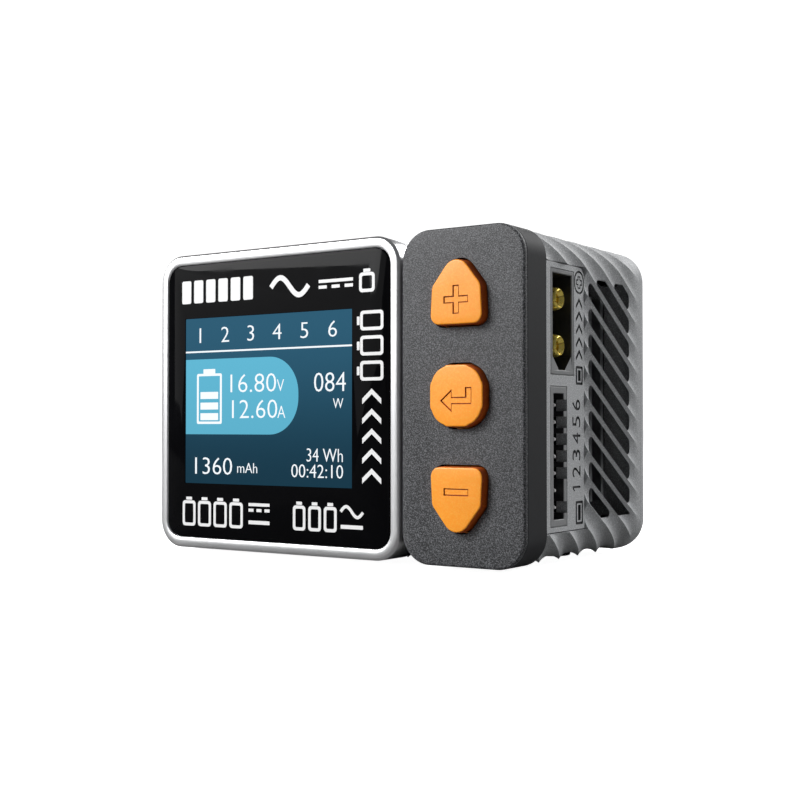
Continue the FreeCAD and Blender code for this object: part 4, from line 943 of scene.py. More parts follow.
def house_corners():
    """The five corners of a house-shaped cap about its middle, anticlockwise."""
    half, lean, base, apex, roof = 4.45, 0.3, 4.7, 6.2, math.radians(52.0)
    shoulder = apex - (half - lean) * math.tan(roof)
    return [(-half, -base), (half, -base), (half - lean, shoulder), (0.0, apex),
            (lean - half, shoulder)]


def house_outline(flip):
    """The outline of the up cap, or turned over, of the down cap, grown by a margin."""
    radii = [1.5, 1.5, 1.5, 2.4, 1.5]

    def outline(margin):
        points = rounded_polygon(grown(house_corners(), margin), [r + margin for r in radii])
        return [(-x, -z) for x, z in points] if flip else points
    return outline


def square_outline(margin):
    """The rounded square cap, its sides bowed out a little."""
    side, bow = 8.66, 0.17
    points = rounded_rect(side + 2 * margin, side + 2 * margin, 3.1 + margin, 10)
    half = side / 2 + margin
    return [(x + bow * math.copysign(1 - (z / half) ** 2, x) if abs(x) > 0.98 * half else x,
             z + bow * math.copysign(1 - (x / half) ** 2, z) if abs(z) > 0.98 * half else z)
            for x, z in points]


def glyph_corners(kind, width, stroke):
    """The outlines of the sign sunk into a cap, as separate closed shapes."""
    half, thin = width / 2, stroke / 2
    if kind == "down":
        return [[(-half, -thin), (half, -thin), (half, thin), (-half, thin)]]
    if kind == "up":
        return [[(-half, -thin), (-thin, -thin), (-thin, -half), (thin, -half), (thin, -thin),
                 (half, -thin), (half, thin), (thin, thin), (thin, half), (-thin, half),
                 (-thin, thin), (-half, thin)]]
    head = -half / 3
    return [[(-half - 1.1 * thin, 0.0), (head, -0.8 * half), (head, -thin), (half + thin, -thin),
             (half + thin, 0.92 * half), (half - thin, 0.92 * half), (half - thin, thin),
             (head, thin), (head, 0.8 * half)]]


def make_cap(settings, kind, outline, node, body):
    low, high = cad_box(node)
    middle = cap_middle(kind, node)
    sign_at = (middle[0], middle[1] + {"up": -settings.glyph_shift, "enter": -settings.arrow_drop,
                                       "down": settings.glyph_shift}[kind])
    front, back = low.y, high.y
    edge, draft = settings.cap_edge, settings.cap_draft
    flange_front = back - 0.8
    stations = [(0.6, back), (0.6, flange_front), (0.0, flange_front), (0.0, FACE + 0.2)]
    for step in range(6):
        angle = math.pi / 2 * step / 5
        stations.append((-draft - edge * (1 - math.cos(angle)),
                         front + edge * (1 - math.sin(angle))))
    cap = stack(f"button_{kind}_cap", outline, stations, facing_front(middle), finish("cap"))
    groove, floor = 0.17, 0.12
    depth = settings.glyph_depth
    cutters = []
    for shape in glyph_corners(kind, settings.glyph_width, settings.glyph_stroke):
        def sign(margin, p=shape):
            return grown(p, margin)

        cutters.append(stack("groove", sign, [(0.0, front - 1.0), (0.0, front + depth),
                                              (-groove, front + depth), (-groove, front - 1.0)],
                             facing_front(sign_at), closed=True))
        cutters.append(stack("sign", sign, [(-0.03, front - 0.9), (-0.03, front + floor)],
                             facing_front(sign_at)))
    carve(cap, *cutters)
    # The caps' sides and the floor of the sunk sign take the deeper orange: painted shade.
    cap.data.materials.append(finish("cap_side"))
    for polygon in cap.data.polygons:
        sunk = floor + 0.05 < polygon.center.y / MM - front < depth + 0.05
        if abs(polygon.normal.y) < STEEP or (sunk and polygon.normal.y < -0.9):
            polygon.material_index = 1
    shade(cap, math.radians(28))
    settle(cap, "button_orange", node, body=body)


CAPS = (
    ("up", house_outline(False), "button_up", "up_button"),
    ("enter", square_outline, "button_enter", "enter_button"),
    ("down", house_outline(True), "button_down", "down_button"),
)


def cap_middle(kind, node):
    """Where a cap's outline is centred."""
    low, high = cad_box(node)
    middle = (low + high) / 2
    if kind == "up":
        return (middle.x, low.z + 0.6 + 4.7)
    if kind == "down":
        return (middle.x, high.z - 0.6 - 4.7)
    return (middle.x, middle.z)


def make_keypad(settings):
    width, height = KEYPAD_HIGH.x - KEYPAD_LOW.x, KEYPAD_HIGH.z - KEYPAD_LOW.z
    at = ((KEYPAD_LOW.x + KEYPAD_HIGH.x) / 2, MIDDLE)

    def outline(margin):
        return rounded_rect(width + 2 * margin, height + 2 * margin,
                            settings.corner_radius + margin, 14)

    edge = settings.edge_radius
    stations = [(-0.05, KEYPAD_HIGH.y), (0.0, KEYPAD_HIGH.y - 0.06)]
    for step in range(6):
        angle = math.pi / 2 * step / 5
        stations.append((-edge * (1 - math.cos(angle)), FACE + edge * (1 - math.sin(angle))))
    plate = stack("keypad_faceplate_textured", outline, stations, facing_front(at),
                  finish("faceplate"))
    wall = 1.2
    shell = stack("keypad_shell_smooth", outline,
                  [(-wall, SHELL_HIGH.y), (-0.12, SHELL_HIGH.y), (0.0, SHELL_HIGH.y - 0.12),
                   (0.0, SHELL_LOW.y + 0.10), (-0.10, SHELL_LOW.y), (-3.0, SHELL_LOW.y),
                   (-3.0, SHELL_LOW.y + wall), (-wall, SHELL_LOW.y + wall)],
                  facing_front(at), finish("slab"), closed=True)
    front_wall = stack("keypad_front_wall", outline,
                       [(-2.9, SHELL_LOW.y), (-2.9, SHELL_LOW.y + wall)], facing_front(at),
                       finish("slab"))
    for kind, cap_outline, node, _ in CAPS:
        for thing in (plate, front_wall):
            hole = stack("hole", cap_outline,
                         [(settings.hole_clearance, FACE - 1.0),
                          (settings.hole_clearance, SHELL_LOW.y + wall + 1.0)],
                         facing_front(cap_middle(kind, node)))
            carve(thing, hole)
    shade(plate)
    settle(plate, "keypad_texture", "keypad_faceplate")
    whole = join("keypad_shell_smooth", [shell, front_wall])
    shade(whole)
    settle(whole, "keypad_plastic", "keypad_shell")


# ------------------------------------------------------------------ display

def make_bezel(settings):
    width, height = BEZEL_HIGH.x - BEZEL_LOW.x, BEZEL_HIGH.z - BEZEL_LOW.z
    rim = GLASS_LOW.x - BEZEL_LOW.x
    at = ((BEZEL_LOW.x + BEZEL_HIGH.x) / 2, (BEZEL_LOW.z + BEZEL_HIGH.z) / 2)
    front, back, chamfer = BEZEL_LOW.y, BEZEL_HIGH.y, settings.chamfer

    def outline(margin):
        return rounded_rect(width + 2 * margin, height + 2 * margin,
                            max(settings.corner_radius + margin, 0.6), 16)

    ledge = 1.4
    stations = [(0.0, back - 0.1), (0.0, front + chamfer + 0.1), (-0.06, front + chamfer),
                (-chamfer, front + 0.05), (-chamfer - 0.1, front), (-rim + 0.26, front),
                (-rim + 0.16, front + 0.04), (-rim + 0.02, front + 0.2),
                (-rim, GLASS_HIGH.y), (-rim - ledge, GLASS_HIGH.y), (-rim - ledge, back),
                (-0.1, back)]
    bezel = stack("display_bezel_metal", outline, stations, facing_front(at), finish("bezel"),
                  closed=True)
    shade(bezel)
    settle(bezel, "bezel_metal", "display_bezel")


def screen_place():
    """The lit screen's low and high corners in X and Z."""
    low, high = cad_box("lcd_panel")
    border = bpy.context.scene.charger_display.screen_border
    return (low.x + border, low.z + border), (high.x - border, high.z - border)


def make_glass(settings):
    width, height = GLASS_HIGH.x - GLASS_LOW.x, GLASS_HIGH.z - GLASS_LOW.z
    at = ((GLASS_LOW.x + GLASS_HIGH.x) / 2, (GLASS_LOW.z + GLASS_HIGH.z) / 2)
    front, back = GLASS_LOW.y + 0.06, GLASS_HIGH.y

    def outline(margin):
        return rounded_rect(width + 2 * margin, height + 2 * margin,
                            settings.glass_radius + margin, 16)

    glass = stack("display_glass_sheet", outline,
                  [(-0.02, back), (-0.02, front + 0.16), (-0.07, front + 0.05),
                   (-0.18, front)], facing_front(at), finish("glass"))
    low, high = screen_place()
    carve(glass, block("window", (low[0], front - 1.0, low[1]), (high[0], front + 0.25, high[1])))
    shade(glass)
    settle(glass, "display_glass", "display_glass")


def on_front(x, z, level):
    """Maps (across, up, out) about a place on the front to the row frame."""
    return lambda across, up, out: (x + across, level - out, z + up)


def flat_shape(name, outline, at, level, thickness, material, hole=None):
    """A thin plate that faces the front; hole is a second outline that is left open."""
    put = facing_front(at)
    if hole is None:
        return stack(name, lambda margin: outline, [(0.0, level), (0.0, level - thickness)], put,
                     material)
    stages = {0: outline, 1: hole}
    return stack(name, lambda stage: stages[stage],
                 [(0, level), (0, level - thickness), (1, level - thickness), (1, level)], put,
                 material, closed=True)


def make_screen(settings):
    low, high = screen_place()
    width, height = high[0] - low[0], high[1] - low[1]
    level = GLASS_LOW.y + 0.06 + 0.12
    ink = settings.ink
    field = flat_shape("screen_field", rounded_rect(width - 0.06, height - 0.06, 0.15, 2),
                       (low[0] + width / 2, low[1] + height / 2), level + 0.1, 0.1,
                       finish("screen"))
    settle(field, "lcd")
    left, base = low
    pill_width, pill_height, pill_z = 24.0, 12.4, 14.35
    end = 0.47 * pill_height
    half_width, half_height = pill_width / 2, pill_height / 2
    pill_points = rounded_polygon([(-half_width, -half_height), (half_width, -half_height),
                                   (half_width, half_height), (-half_width, half_height)],
                                  [0.02, end, end, 0.02], 14)
    pill = flat_shape("screen_pill", pill_points, (left + half_width + 0.1, base + pill_z), level,
                      ink, finish("pill"))
    settle(pill, "lcd")
    white = finish("figures")
    parts = [flat_shape("rule", rounded_rect(width - 0.1, 0.27, 0.02, 1),
                        (left + width / 2, base + 21.8), level, ink, white)]
    top = level - ink
    icon = (left + 5.35, base + 14.0)
    parts.append(flat_shape("cell_case", rounded_rect(5.5, 8.3, 0.3, 3), icon, top, ink, white,
                            rounded_rect(4.7, 7.5, 0.12, 3)))
    parts.append(flat_shape("cell_cap", rounded_rect(2.6, 0.8, 0.1, 2),
                            (icon[0], icon[1] + 4.5), top, ink, white))
    bar = flat_shape("cell_bar", rounded_rect(3.9, 1.15, 0.05, 2), (icon[0], icon[1] - 2.95), top,
                     ink, white)
    parts.append(grow(bar, "row", row_tree, count=3, step=(0.0, 0.0, 1.75 * MM), material=white))
    for text, wide, high, across, up in (
            ("1   2   3   4   5   6", 28.5, 2.5, 17.4, 24.5), ("16.80", 9.6, 2.95, 14.8, 16.45),
            ("V", 1.45, 1.9, 20.5, 15.95), ("12.60", 9.5, 2.95, 15.1, 12.25),
            ("A", 1.6, 1.9, 20.7, 11.75), ("084", 6.1, 2.95, 30.3, 16.3),
            ("W", 1.95, 1.5, 31.9, 13.0), ("1360", 8.1, 2.75, 6.3, 2.95),
            ("mAh", 4.2, 1.6, 13.6, 2.75), ("34 Wh", 7.0, 2.05, 29.3, 5.0),
            ("00:42:10", 10.1, 2.05, 27.8, 2.5)):
        parts.append(words("figure", text, wide, high, on_front(left + across, base + up, top),
                           2 * ink, white, 0.012))
    figures = join("screen_figures", parts)
    settle(figures, "lcd", "lcd_panel")


def wave_outline(width, height, stroke, steps=24):
    """A band that follows one turn of a sine."""
    upper, lower = [], []
    for step in range(steps + 1):
        share = step / steps
        x = (share - 0.5) * width
        z = height / 2 * math.sin(2 * math.pi * share)
        slope = height * math.pi / width * math.cos(2 * math.pi * share)
        tilt = math.hypot(1, slope)
        upper.append((x - slope / tilt * stroke / 2, z + stroke / 2 / tilt))
        lower.append((x + slope / tilt * stroke / 2, z - stroke / 2 / tilt))
    return lower + upper[::-1]


def cell_sign(width, height, wall, nub):
    """The outlines of a battery sign: its case, the case's inside, and its terminal's middle."""
    return (rounded_rect(width, height, 0.55, 4),
            rounded_rect(width - 2 * wall, height - 2 * wall, 0.25, 4),
            rounded_rect(nub, 0.5, 0.08, 2))


def make_prints(settings):
    """Plain signs printed on the glass border: cells, waves, dashes and arrows."""
    white, ink = finish("print"), settings.ink
    front = GLASS_LOW.y + 0.06
    left, top, base = GLASS_LOW.x, GLASS_HIGH.z, GLASS_LOW.z
    parts = []

    def plate(outline, at, hole=None, count=1, step=(0.0, 0.0)):
        one = flat_shape("print", outline, at, front, ink, white, hole)
        if count > 1:
            one = grow(one, "row", row_tree, count=count,
                       step=(step[0] * MM, 0.0, step[1] * MM), material=white)
        parts.append(one)

    def cells(width, height, wall, first, count, pitch):
        case, inside, nub = cell_sign(width, height, wall, 0.45 * width)
        plate(case, first, inside, count, (pitch, 0.0))
        plate(nub, (first[0], first[1] + height / 2 + 0.35), None, count, (pitch, 0.0))

    def direct(at, width):
        """The sign for direct current: a line over three dashes."""
        plate(rounded_rect(width, 0.5, 0.05, 2), (at[0], at[1] + 0.45))
        plate(rounded_rect(0.24 * width, 0.5, 0.05, 2), (at[0] - 0.38 * width, at[1] - 0.45),
              None, 3, (0.38 * width, 0.0))

    plate(rounded_rect(2.05, 3.8, 0.3, 3), (left + 4.2, top - 4.55), None, 6, (2.7, 0.0))
    plate(wave_outline(7.6, 2.9, 0.85), (left + 26.3, top - 4.8))
    direct((left + 35.4, top - 4.9), 6.6)
    case, inside, nub = cell_sign(2.9, 3.0, 0.5, 1.3)
    plate(case, (left + 41.3, top - 5.1), inside)
    plate(nub, (left + 41.3, top - 3.3))
    cells(2.9, 4.2, 0.5, (left + 4.9, base + 4.0), 4, 3.45)
    direct((left + 20.1, base + 5.4), 4.4)
    plate(rounded_rect(4.4, 0.6, 0.1, 2), (left + 20.1, base + 3.0))
    cells(2.5, 3.9, 0.5, (left + 28.3, base + 4.1), 3, 3.05)
    plate(wave_outline(4.2, 1.6, 0.5), (left + 38.5, base + 5.4))
    plate(rounded_rect(4.2, 0.6, 0.1, 2), (left + 38.5, base + 3.1))
    side_x = left + 42.2
    case, inside, _ = cell_sign(4.3, 3.0, 0.5, 1.3)
    plate(case, (side_x, top - 10.9), inside, 3, (0.0, -3.8))
    plate(rounded_rect(0.5, 1.3, 0.08, 2), (side_x - 2.5, top - 10.9), None, 3, (0.0, -3.8))
    chevron = [(0.0, 1.5), (-1.75, 0.0), (-1.75, -0.85), (0.0, 0.65), (1.75, -0.85), (1.75, 0.0)]
    plate(chevron, (side_x, base + 10.6), None, 5, (0.0, 3.0))
    settle(join("glass_prints", parts), "white_reflector")


# ------------------------------------------------------------------ ports

class PortSettings(bpy.types.PropertyGroup):
    """Sizes of the side panels and sockets, in millimetres."""
    panel_height: length("Panel height", "Height of a side panel", 39.4)
    panel_end: length("Panel end", "Where a side panel ends, behind the keypad's face", 19.8)
    mark_depth: length("Mark depth", "How deep the marks are sunk", 0.22)
    mark_stroke: length("Mark stroke", "Stroke of the marks", 0.38)
    socket_wall: length("Socket wall", "Wall of a power socket", 0.62)
    socket_bevel: length("Socket bevel", "Bevel at a power socket's low end", 2.1)
    numeral_width: length("Numeral width", "Width of a numeral on the panel", 1.65)
    numeral_height: length("Numeral height", "Height of a numeral on the panel", 2.6)
    header_wall: length("Header wall", "Wall of the balance header", 1.0)
    header_depth: length("Header depth", "Depth of the balance header's shroud", 5.2)
    notch_width: length("Notch width", "Width of the header's notches", 1.7)


SETTINGS["charger_ports"] = PortSettings


def side_mark(outline, at, level, depth, side, hole=None):
    """A shape that is sunk into a side panel."""
    stations = [(0, level + side), (0, level - side * depth)]
    stages = {0: outline, 1: hole}
    if hole is None:
        return stack("mark", lambda stage: outline, stations, facing_side(at))
    stations += [(1, level - side * depth), (1, level + side)]
    return stack("mark", lambda stage: stages[stage], stations, facing_side(at), closed=True)


def upward(at, level, side):
    """Figures that read upwards on a side panel."""
    return lambda across, up, out: (level + side * out, at[0] - side * up, at[1] + across)


def framed(width, height, radius, stroke):
    return (rounded_rect(width, height, radius, 4),
            rounded_rect(width - 2 * stroke, height - 2 * stroke, max(radius - stroke, 0.1), 4))


def plus_outline(size, stroke):
    half, thin = size / 2, stroke / 2
    return [(-half, -thin), (-thin, -thin), (-thin, -half), (thin, -half), (thin, -thin),
            (half, -thin), (half, thin), (thin, thin), (thin, half), (-thin, half),
            (-thin, thin), (-half, thin)]


def polarity_marks(settings, side, level, y, plus_z, minus_z):
    """A plus and a minus, each in a frame, and chevrons between them."""
    depth, stroke = settings.mark_depth, settings.mark_stroke
    outer = rounded_rect(3.2, 3.5, 1.55, 8)
    inner = grown(outer, -0.3)
    marks = [side_mark(outer, (y, plus_z), level, depth, side, inner),
             side_mark(plus_outline(1.9, 0.85), (y, plus_z), level, depth, side,
                       grown(plus_outline(1.9, 0.85), -0.2))]
    outer, inner = framed(2.3, 2.8, 0.2, stroke)
    marks += [side_mark(outer, (y, minus_z), level, depth, side, inner),
              side_mark(rounded_rect(0.95, 1.6, 0.1, 2), (y, minus_z), level, depth, side)]
    count, arm, rise = 5, 1.05, 1.15
    low, high = minus_z + 2.0, plus_z - 2.3
    for step in range(count):
        z = low + (high - low) * (step + 0.5) / count
        chevron = [(0.0, rise / 2 + stroke), (-arm, stroke - rise / 2), (-arm, -rise / 2 - 0.2),
                   (0.0, rise / 2 - 0.2), (arm, -rise / 2 - 0.2), (arm, stroke - rise / 2)]
        marks.append(side_mark(chevron, (y, z), level, depth, side))
    return marks


def sink(panel, marks, side, level):
    """Cuts marks into a panel and darkens the cut faces with painted shade."""
    carve(panel, *marks)
    # The faces inside the marks get the dark finish: painted shade.
    panel.data.materials.append(finish("panel_mark"))
    for polygon in panel.data.polygons:
        under = side * (level * MM - polygon.center.x)
        flat = abs(polygon.normal.x) > 0.9
        if 0.00002 < under < 0.00045 and (flat or under < 0.00030):
            polygon.material_index = 1
    return panel


def opening(name, node, clearance, side, depth=None):
    """What a socket needs left open in its panel; depth is its own where its node is deeper."""
    low, high = cad_box(node)
    if depth:
        high.y = low.y + depth
    reach = sorted((side * (HOUSE_HIGH.x - 4.0), side * (HOUSE_HIGH.x + 1.0)))
    return block(name, (reach[0], low.y - clearance, low.z - clearance),
                 (reach[1], high.y + clearance, high.z + clearance))


def make_panel(settings, side, node, front, marks_for, cutters):
    low, high = cad_box(node)
    surface = high.x if side == 1 else -low.x
    height = settings.panel_height
    end = FACE + settings.panel_end
    depth = end - front - 0.1
    at = ((front + end) / 2, MIDDLE)

    def outline(margin):
        cut = 0.9
        half_y, half_z = depth / 2 + margin, height / 2 - 0.05 + margin
        return [(-half_y, -half_z), (half_y, -half_z), (half_y, half_z - cut),
                (half_y - cut, half_z), (-half_y, half_z)]

    panel = stack(f"{node}_finished", outline,
                  [(0.0, side * (HOUSE_HIGH.x - 1.6 - 0.8)), (0.0, side * (surface - 0.12)),
                   (-0.12, side * surface)], facing_side(at), finish("housing"))
    carve(panel, *cutters)
    level = side * surface
    sink(panel, marks_for(level), side, level)
    shade(panel)
    settle(panel, "housing_plastic", node)


def make_right_panel(settings):
    socket_low, socket_high = cad_box("output_socket")
    header_low, header_high = cad_box("balance_header")
    y = FACE + 18.0
    numeral_y = FACE + 17.0

    def marks(level):
        found = polarity_marks(settings, 1, level, y, MIDDLE + 17.3, MIDDLE + 3.35)
        pitch = 2.48
        first = (header_low.z + header_high.z) / 2 - 2.0 * pitch + 0.1
        tall = settings.numeral_height / 2
        one = [(0.05, -tall), (0.36, -tall), (0.36, tall), (0.1, tall), (-0.5, tall - 0.5),
               (-0.36, tall - 0.75), (0.05, tall - 0.4)]
        found.append(side_mark([(-up, across) for across, up in one], (numeral_y, first), level,
                               settings.mark_depth, 1))
        for number in range(1, 6):
            found.append(words("numeral", str(number + 1), settings.numeral_width,
                               settings.numeral_height,
                               upward((numeral_y, first + number * pitch), level, 1),
                               2 * settings.mark_depth))
        outer, inner = framed(2.4, 3.5, 0.2, settings.mark_stroke)
        spot = (y - 0.1, MIDDLE - 17.1)
        found.append(side_mark(outer, spot, level, settings.mark_depth, 1, inner))
        found.append(side_mark(rounded_rect(0.9, 2.3, 0.1, 2), spot, level, settings.mark_depth,
                               1))
        return found

    make_panel(settings, 1, "right_port_panel", SHELL_HIGH.y + 0.1, marks,
               [opening("output_hole", "output_socket", 0.07, 1),
                opening("header_hole", "balance_header", 0.07, 1, settings.header_depth)])


def make_left_panel(settings):
    supply = cad_middle("supply_socket")
    usb = cad_middle("usb_c_shell")

    def marks(level):
        found = []
        y = FACE + 8.75
        outer, inner = framed(1.5, 2.2, 0.5, 0.25)
        found.append(side_mark(outer, (y, supply.z + 5.5), level, settings.mark_depth, -1, inner))
        found.append(side_mark(plus_outline(0.8, 0.25), (y, supply.z + 5.5), level,
                               settings.mark_depth, -1))
        found.append(side_mark(outer, (y, supply.z - 5.5), level, settings.mark_depth, -1, inner))
        for step in range(3):
            found.append(side_mark(rounded_rect(1.2, 0.3, 0.1, 2), (usb.y, usb.z + 6.2 + 0.7 * step),
                                   level, settings.mark_depth, -1))
        return found

    usb_low, usb_high = cad_box("usb_c_shell")
    port = stack("usb_hole", lambda margin: rounded_rect(usb_high.y - usb_low.y + 0.1,
                                                         usb_high.z - usb_low.z + 0.1, 1.55, 8),
                 [(0.0, HOUSE_LOW.x - 1.0), (0.0, HOUSE_LOW.x + 4.0)],
                 facing_side((usb.y, usb.z)))
    make_panel(settings, -1, "left_port_panel", BEZEL_HIGH.y + 0.1, marks,
               [opening("supply_hole", "supply_socket", 0.07, -1), port])


def paint_mouth_shade(thing, face_level, side, shade_material):
    """Paints what lies inside a socket's mouth with a darker finish: painted shade."""
    thing.data.materials.append(shade_material)
    for polygon in thing.data.polygons:
        depth = side * (face_level * MM - polygon.center.x)
        if depth > 0.00012:
            polygon.material_index = 1
    return thing


CONTACT_PROFILE = ((1.0, 1.3), (0.99, 0.95), (0.965, 0.6), (0.92, 0.3), (0.86, 0.1), (0.79, 0.0))


def make_power_socket(settings, side, label):
    low, high = cad_box(f"{label}_socket")
    width, height = high.y - low.y, high.z - low.z
    at = ((low.y + high.y) / 2, (low.z + high.z) / 2)
    face = high.x if side == 1 else low.x
    wall, bevel = settings.socket_wall, settings.socket_bevel
    floor = face - side * 11.6
    back = low.x if side == 1 else high.x

    def outline(margin):
        half_y, half_z = width / 2 + margin, height / 2 + margin
        if margin > -wall + 0.02:
            cut = 0.05
        else:
            cut = bevel
        return [(-half_y + cut, -half_z), (half_y - cut, -half_z), (half_y, -half_z + cut),
                (half_y, half_z), (-half_y, half_z), (-half_y, -half_z + cut)]

    socket = stack(f"{label}_socket_moulding", outline,
                   [(0.0, back), (0.0, face - side * 0.12), (-0.12, face),
                    (-wall + 0.08, face), (-wall - 0.05, face - side * 0.14),
                    (-wall - 0.05, floor)], facing_side(at), finish("rim"))
    shade(socket)
    # The faces inside the mouth get the black finish as painted shade.
    paint_mouth_shade(socket, face, side, finish("socket"))
    key = block("socket_key", (min(floor, face - side * 2.4), low.y + wall, at[1] - 0.6),
                (max(floor, face - side * 2.4), low.y + wall + 0.9, at[1] + 0.6), finish("rim"))
    eased(key, 0.1)
    whole = join(f"{label}_socket_moulding", [socket, key])
    settle(whole, "socket_black", f"{label}_socket")

    rods = []
    contact_low, contact_high = cad_box(f"{label}_contacts")
    radius = (contact_high.y - contact_low.y) / 2
    tip = contact_high.x if side == 1 else contact_low.x
    root = contact_low.x if side == 1 else contact_high.x
    for end in (-1, 1):
        z = (contact_low.z + contact_high.z) / 2 + end * ((contact_high.z - contact_low.z) / 2
                                                          - radius)
        put = facing_side((at[0], z))
        profile = [(radius * share, tip - side * under) for share, under in CONTACT_PROFILE]
        profile.insert(0, (radius, root))
        rod = lathe("contact", profile, put, finish("gold"), 48)
        octagon = [(0.8 * radius * math.cos(math.pi / 4 * (k + 0.5)),
                    0.8 * radius * math.sin(math.pi / 4 * (k + 0.5))) for k in range(8)]
        funnel = stack("funnel", lambda share, c=octagon: [(y * share, w * share) for y, w in c],
                       [(1.35, tip + side * 0.4), (1.0, tip), (0.62, tip - side * 0.6),
                        (0.58, tip - side * 2.8)], put)
        slits = []
        for turn in range(2):
            angle = math.pi / 8 + math.pi / 2 * turn
            across = Vector((math.cos(angle), math.sin(angle)))
            along = Vector((-across.y, across.x))
            corners = [tuple(2 * radius * i * along + 0.07 * j * across)
                       for i, j in ((-1, -1), (1, -1), (1, 1), (-1, 1))]
            slits.append(stack("slit", lambda margin, c=corners: c,
                               [(0.0, tip + side * 0.5), (0.0, tip - side * 2.4)], put))
        carve(rod, funnel, *slits)
        rods.append(rod)
    contacts = join(f"{label}_contacts_gold", rods)
    shade(contacts)
    settle(contacts, "contact_gold", f"{label}_contacts")


def make_header(settings):
    low, high = cad_box("balance_header")
    pin_low, pin_high = cad_box("balance_pins")
    wall, face = settings.header_wall, high.x
    at = ((low.y + high.y) / 2, (low.z + high.z) / 2)
    depth, height = settings.header_depth, high.z - low.z
    middle_y = low.y + depth / 2
    floor = face - 7.0

    def outline(margin):
        return rounded_rect(depth + 2 * margin, height + 2 * margin, 0.12, 2)

    shroud = stack("balance_header_shroud", outline,
                   [(0.0, low.x), (0.0, face - 0.12), (-0.12, face), (-wall + 0.08, face),
                    (-wall, face - 0.1), (-wall, floor)], facing_side((middle_y, at[1])),
                   finish("rim"))
    pins = 7
    pin_z = (pin_low.z + pin_high.z) / 2
    pitch = (pin_high.z - pin_low.z - 0.64) / (pins - 1)
    for count, first in ((1, 0), (5, 2)):
        notch_z = pin_z + (first - (pins - 1) / 2) * pitch
        notch = block("notch", (floor, low.y + depth - 2 * wall, notch_z - settings.notch_width / 2),
                      (face + 1.0, low.y + depth + 0.5, notch_z + settings.notch_width / 2))
        carve(shroud, grow(notch, "row", row_tree, count=count, step=(0.0, 0.0, pitch * MM),
                           material=finish("rim")))
    shade(shroud)
    # The faces inside the shroud get the black finish as painted shade.
    paint_mouth_shade(shroud, face, 1, finish("socket"))
    settle(shroud, "socket_black", "balance_header")

    pin_y = (pin_low.y + pin_high.y) / 2
    tip, half = pin_high.x, 0.32
    pin = stack("balance_pin", lambda margin: rounded_rect(2 * (half + margin), 2 * (half + margin),
                                                           0.05, 1),
                [(0.0, pin_low.x), (0.0, tip - 0.35), (-0.16, tip)],
                facing_side((pin_y, pin_low.z + half)), finish("tin"))
    row = grow(pin, "row", row_tree, count=pins, step=(0.0, 0.0, pitch * MM),
               material=finish("tin"))
    row.name = "balance_pins_plated"
    shade(row)
    settle(row, "contact_gold", "balance_pins")


def make_usb():
    low, high = cad_box("usb_c_shell")
    width, height = high.y - low.y, high.z - low.z
    at = ((low.y + high.y) / 2, (low.z + high.z) / 2)

    def outline(margin):
        return rounded_rect(width + 2 * margin, height + 2 * margin, width / 2 + margin - 0.05, 10)

    shell = stack("usb_c_shell_drawn", outline,
                  [(0.0, high.x), (0.0, low.x + 0.1), (-0.1, low.x), (-0.28, low.x),
                   (-0.38, low.x + 0.12), (-0.38, high.x - 0.7)], facing_side(at),
                  finish("steel"))
    shade(shell)
    settle(shell, "socket_steel", "usb_c_shell")


# ------------------------------------------------------------------ rear, feet and inside

def make_rear():
    settle(refined("rear_cover", 0.16, finish("housing"), 40), "housing_plastic", "rear_cover")
    settle(refined("mains_inlet", 0.18, finish("socket"), 40), "socket_black", "mains_inlet")
    for node in ("cover_screws", "fan_screws"):
        settle(refined(node, 0.10, finish("screw"), 40), "screw_steel", node)


def make_feet():
    low, high = cad_box("rubber_feet")
    radius = 3.0
    parts = []
    for x in (low.x + radius, high.x - radius):
        for y in (low.y + radius, high.y - radius):
            parts.append(lathe("foot", [(radius, high.z), (radius, low.z + 0.25),
                                        (radius - 0.08, low.z + 0.08), (radius - 0.25, low.z),
                                        (0.5, low.z)], facing_up((x, y)), finish("rubber"), 48))
    feet = join("rubber_feet_domed", parts)
    shade(feet)
    settle(feet, "foot_rubber", "rubber_feet")


NODE_FINISHES = {
    "display_board": "board", "button_board": "board", "main_board": "board",
    "power_board": "board", "usb_board": "board", "lcd_backlight": "white",
    "display_ribbon": "flex", "board_spacers": "gold", "board_feet": "socket",
    "power_inductors": "ferrite", "line_choke": "ferrite", "transformer_core": "ferrite",
    "transformer_winding": "copper", "controller_chip": "chip", "mosfets": "chip",
    "buzzer": "chip", "heatsink": "heatsink", "bulk_capacitors": "sleeve",
    "filter_capacitor": "yellow", "line_fuse": "white", "mains_leads": "lead",
    "mains_pins": "steel", "fan_frame": "socket", "fan_rotor": "socket", "fan_shaft": "steel",
    "usb_c_tongue": "socket", "switch_plunger_up": "white", "switch_plunger_enter": "white",
    "switch_plunger_down": "white", "tact_switch_up": "chip", "tact_switch_enter": "chip",
    "tact_switch_down": "chip",
}


def paint_inside():
    """Gives every CAD node that stays its finish."""
    for node, name in NODE_FINISHES.items():
        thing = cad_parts[node]
        if not thing.material_slots:
            thing.data.materials.append(finish(name))
        for place in thing.material_slots:
            place.material = finish(name)


# ------------------------------------------------------------------ stage

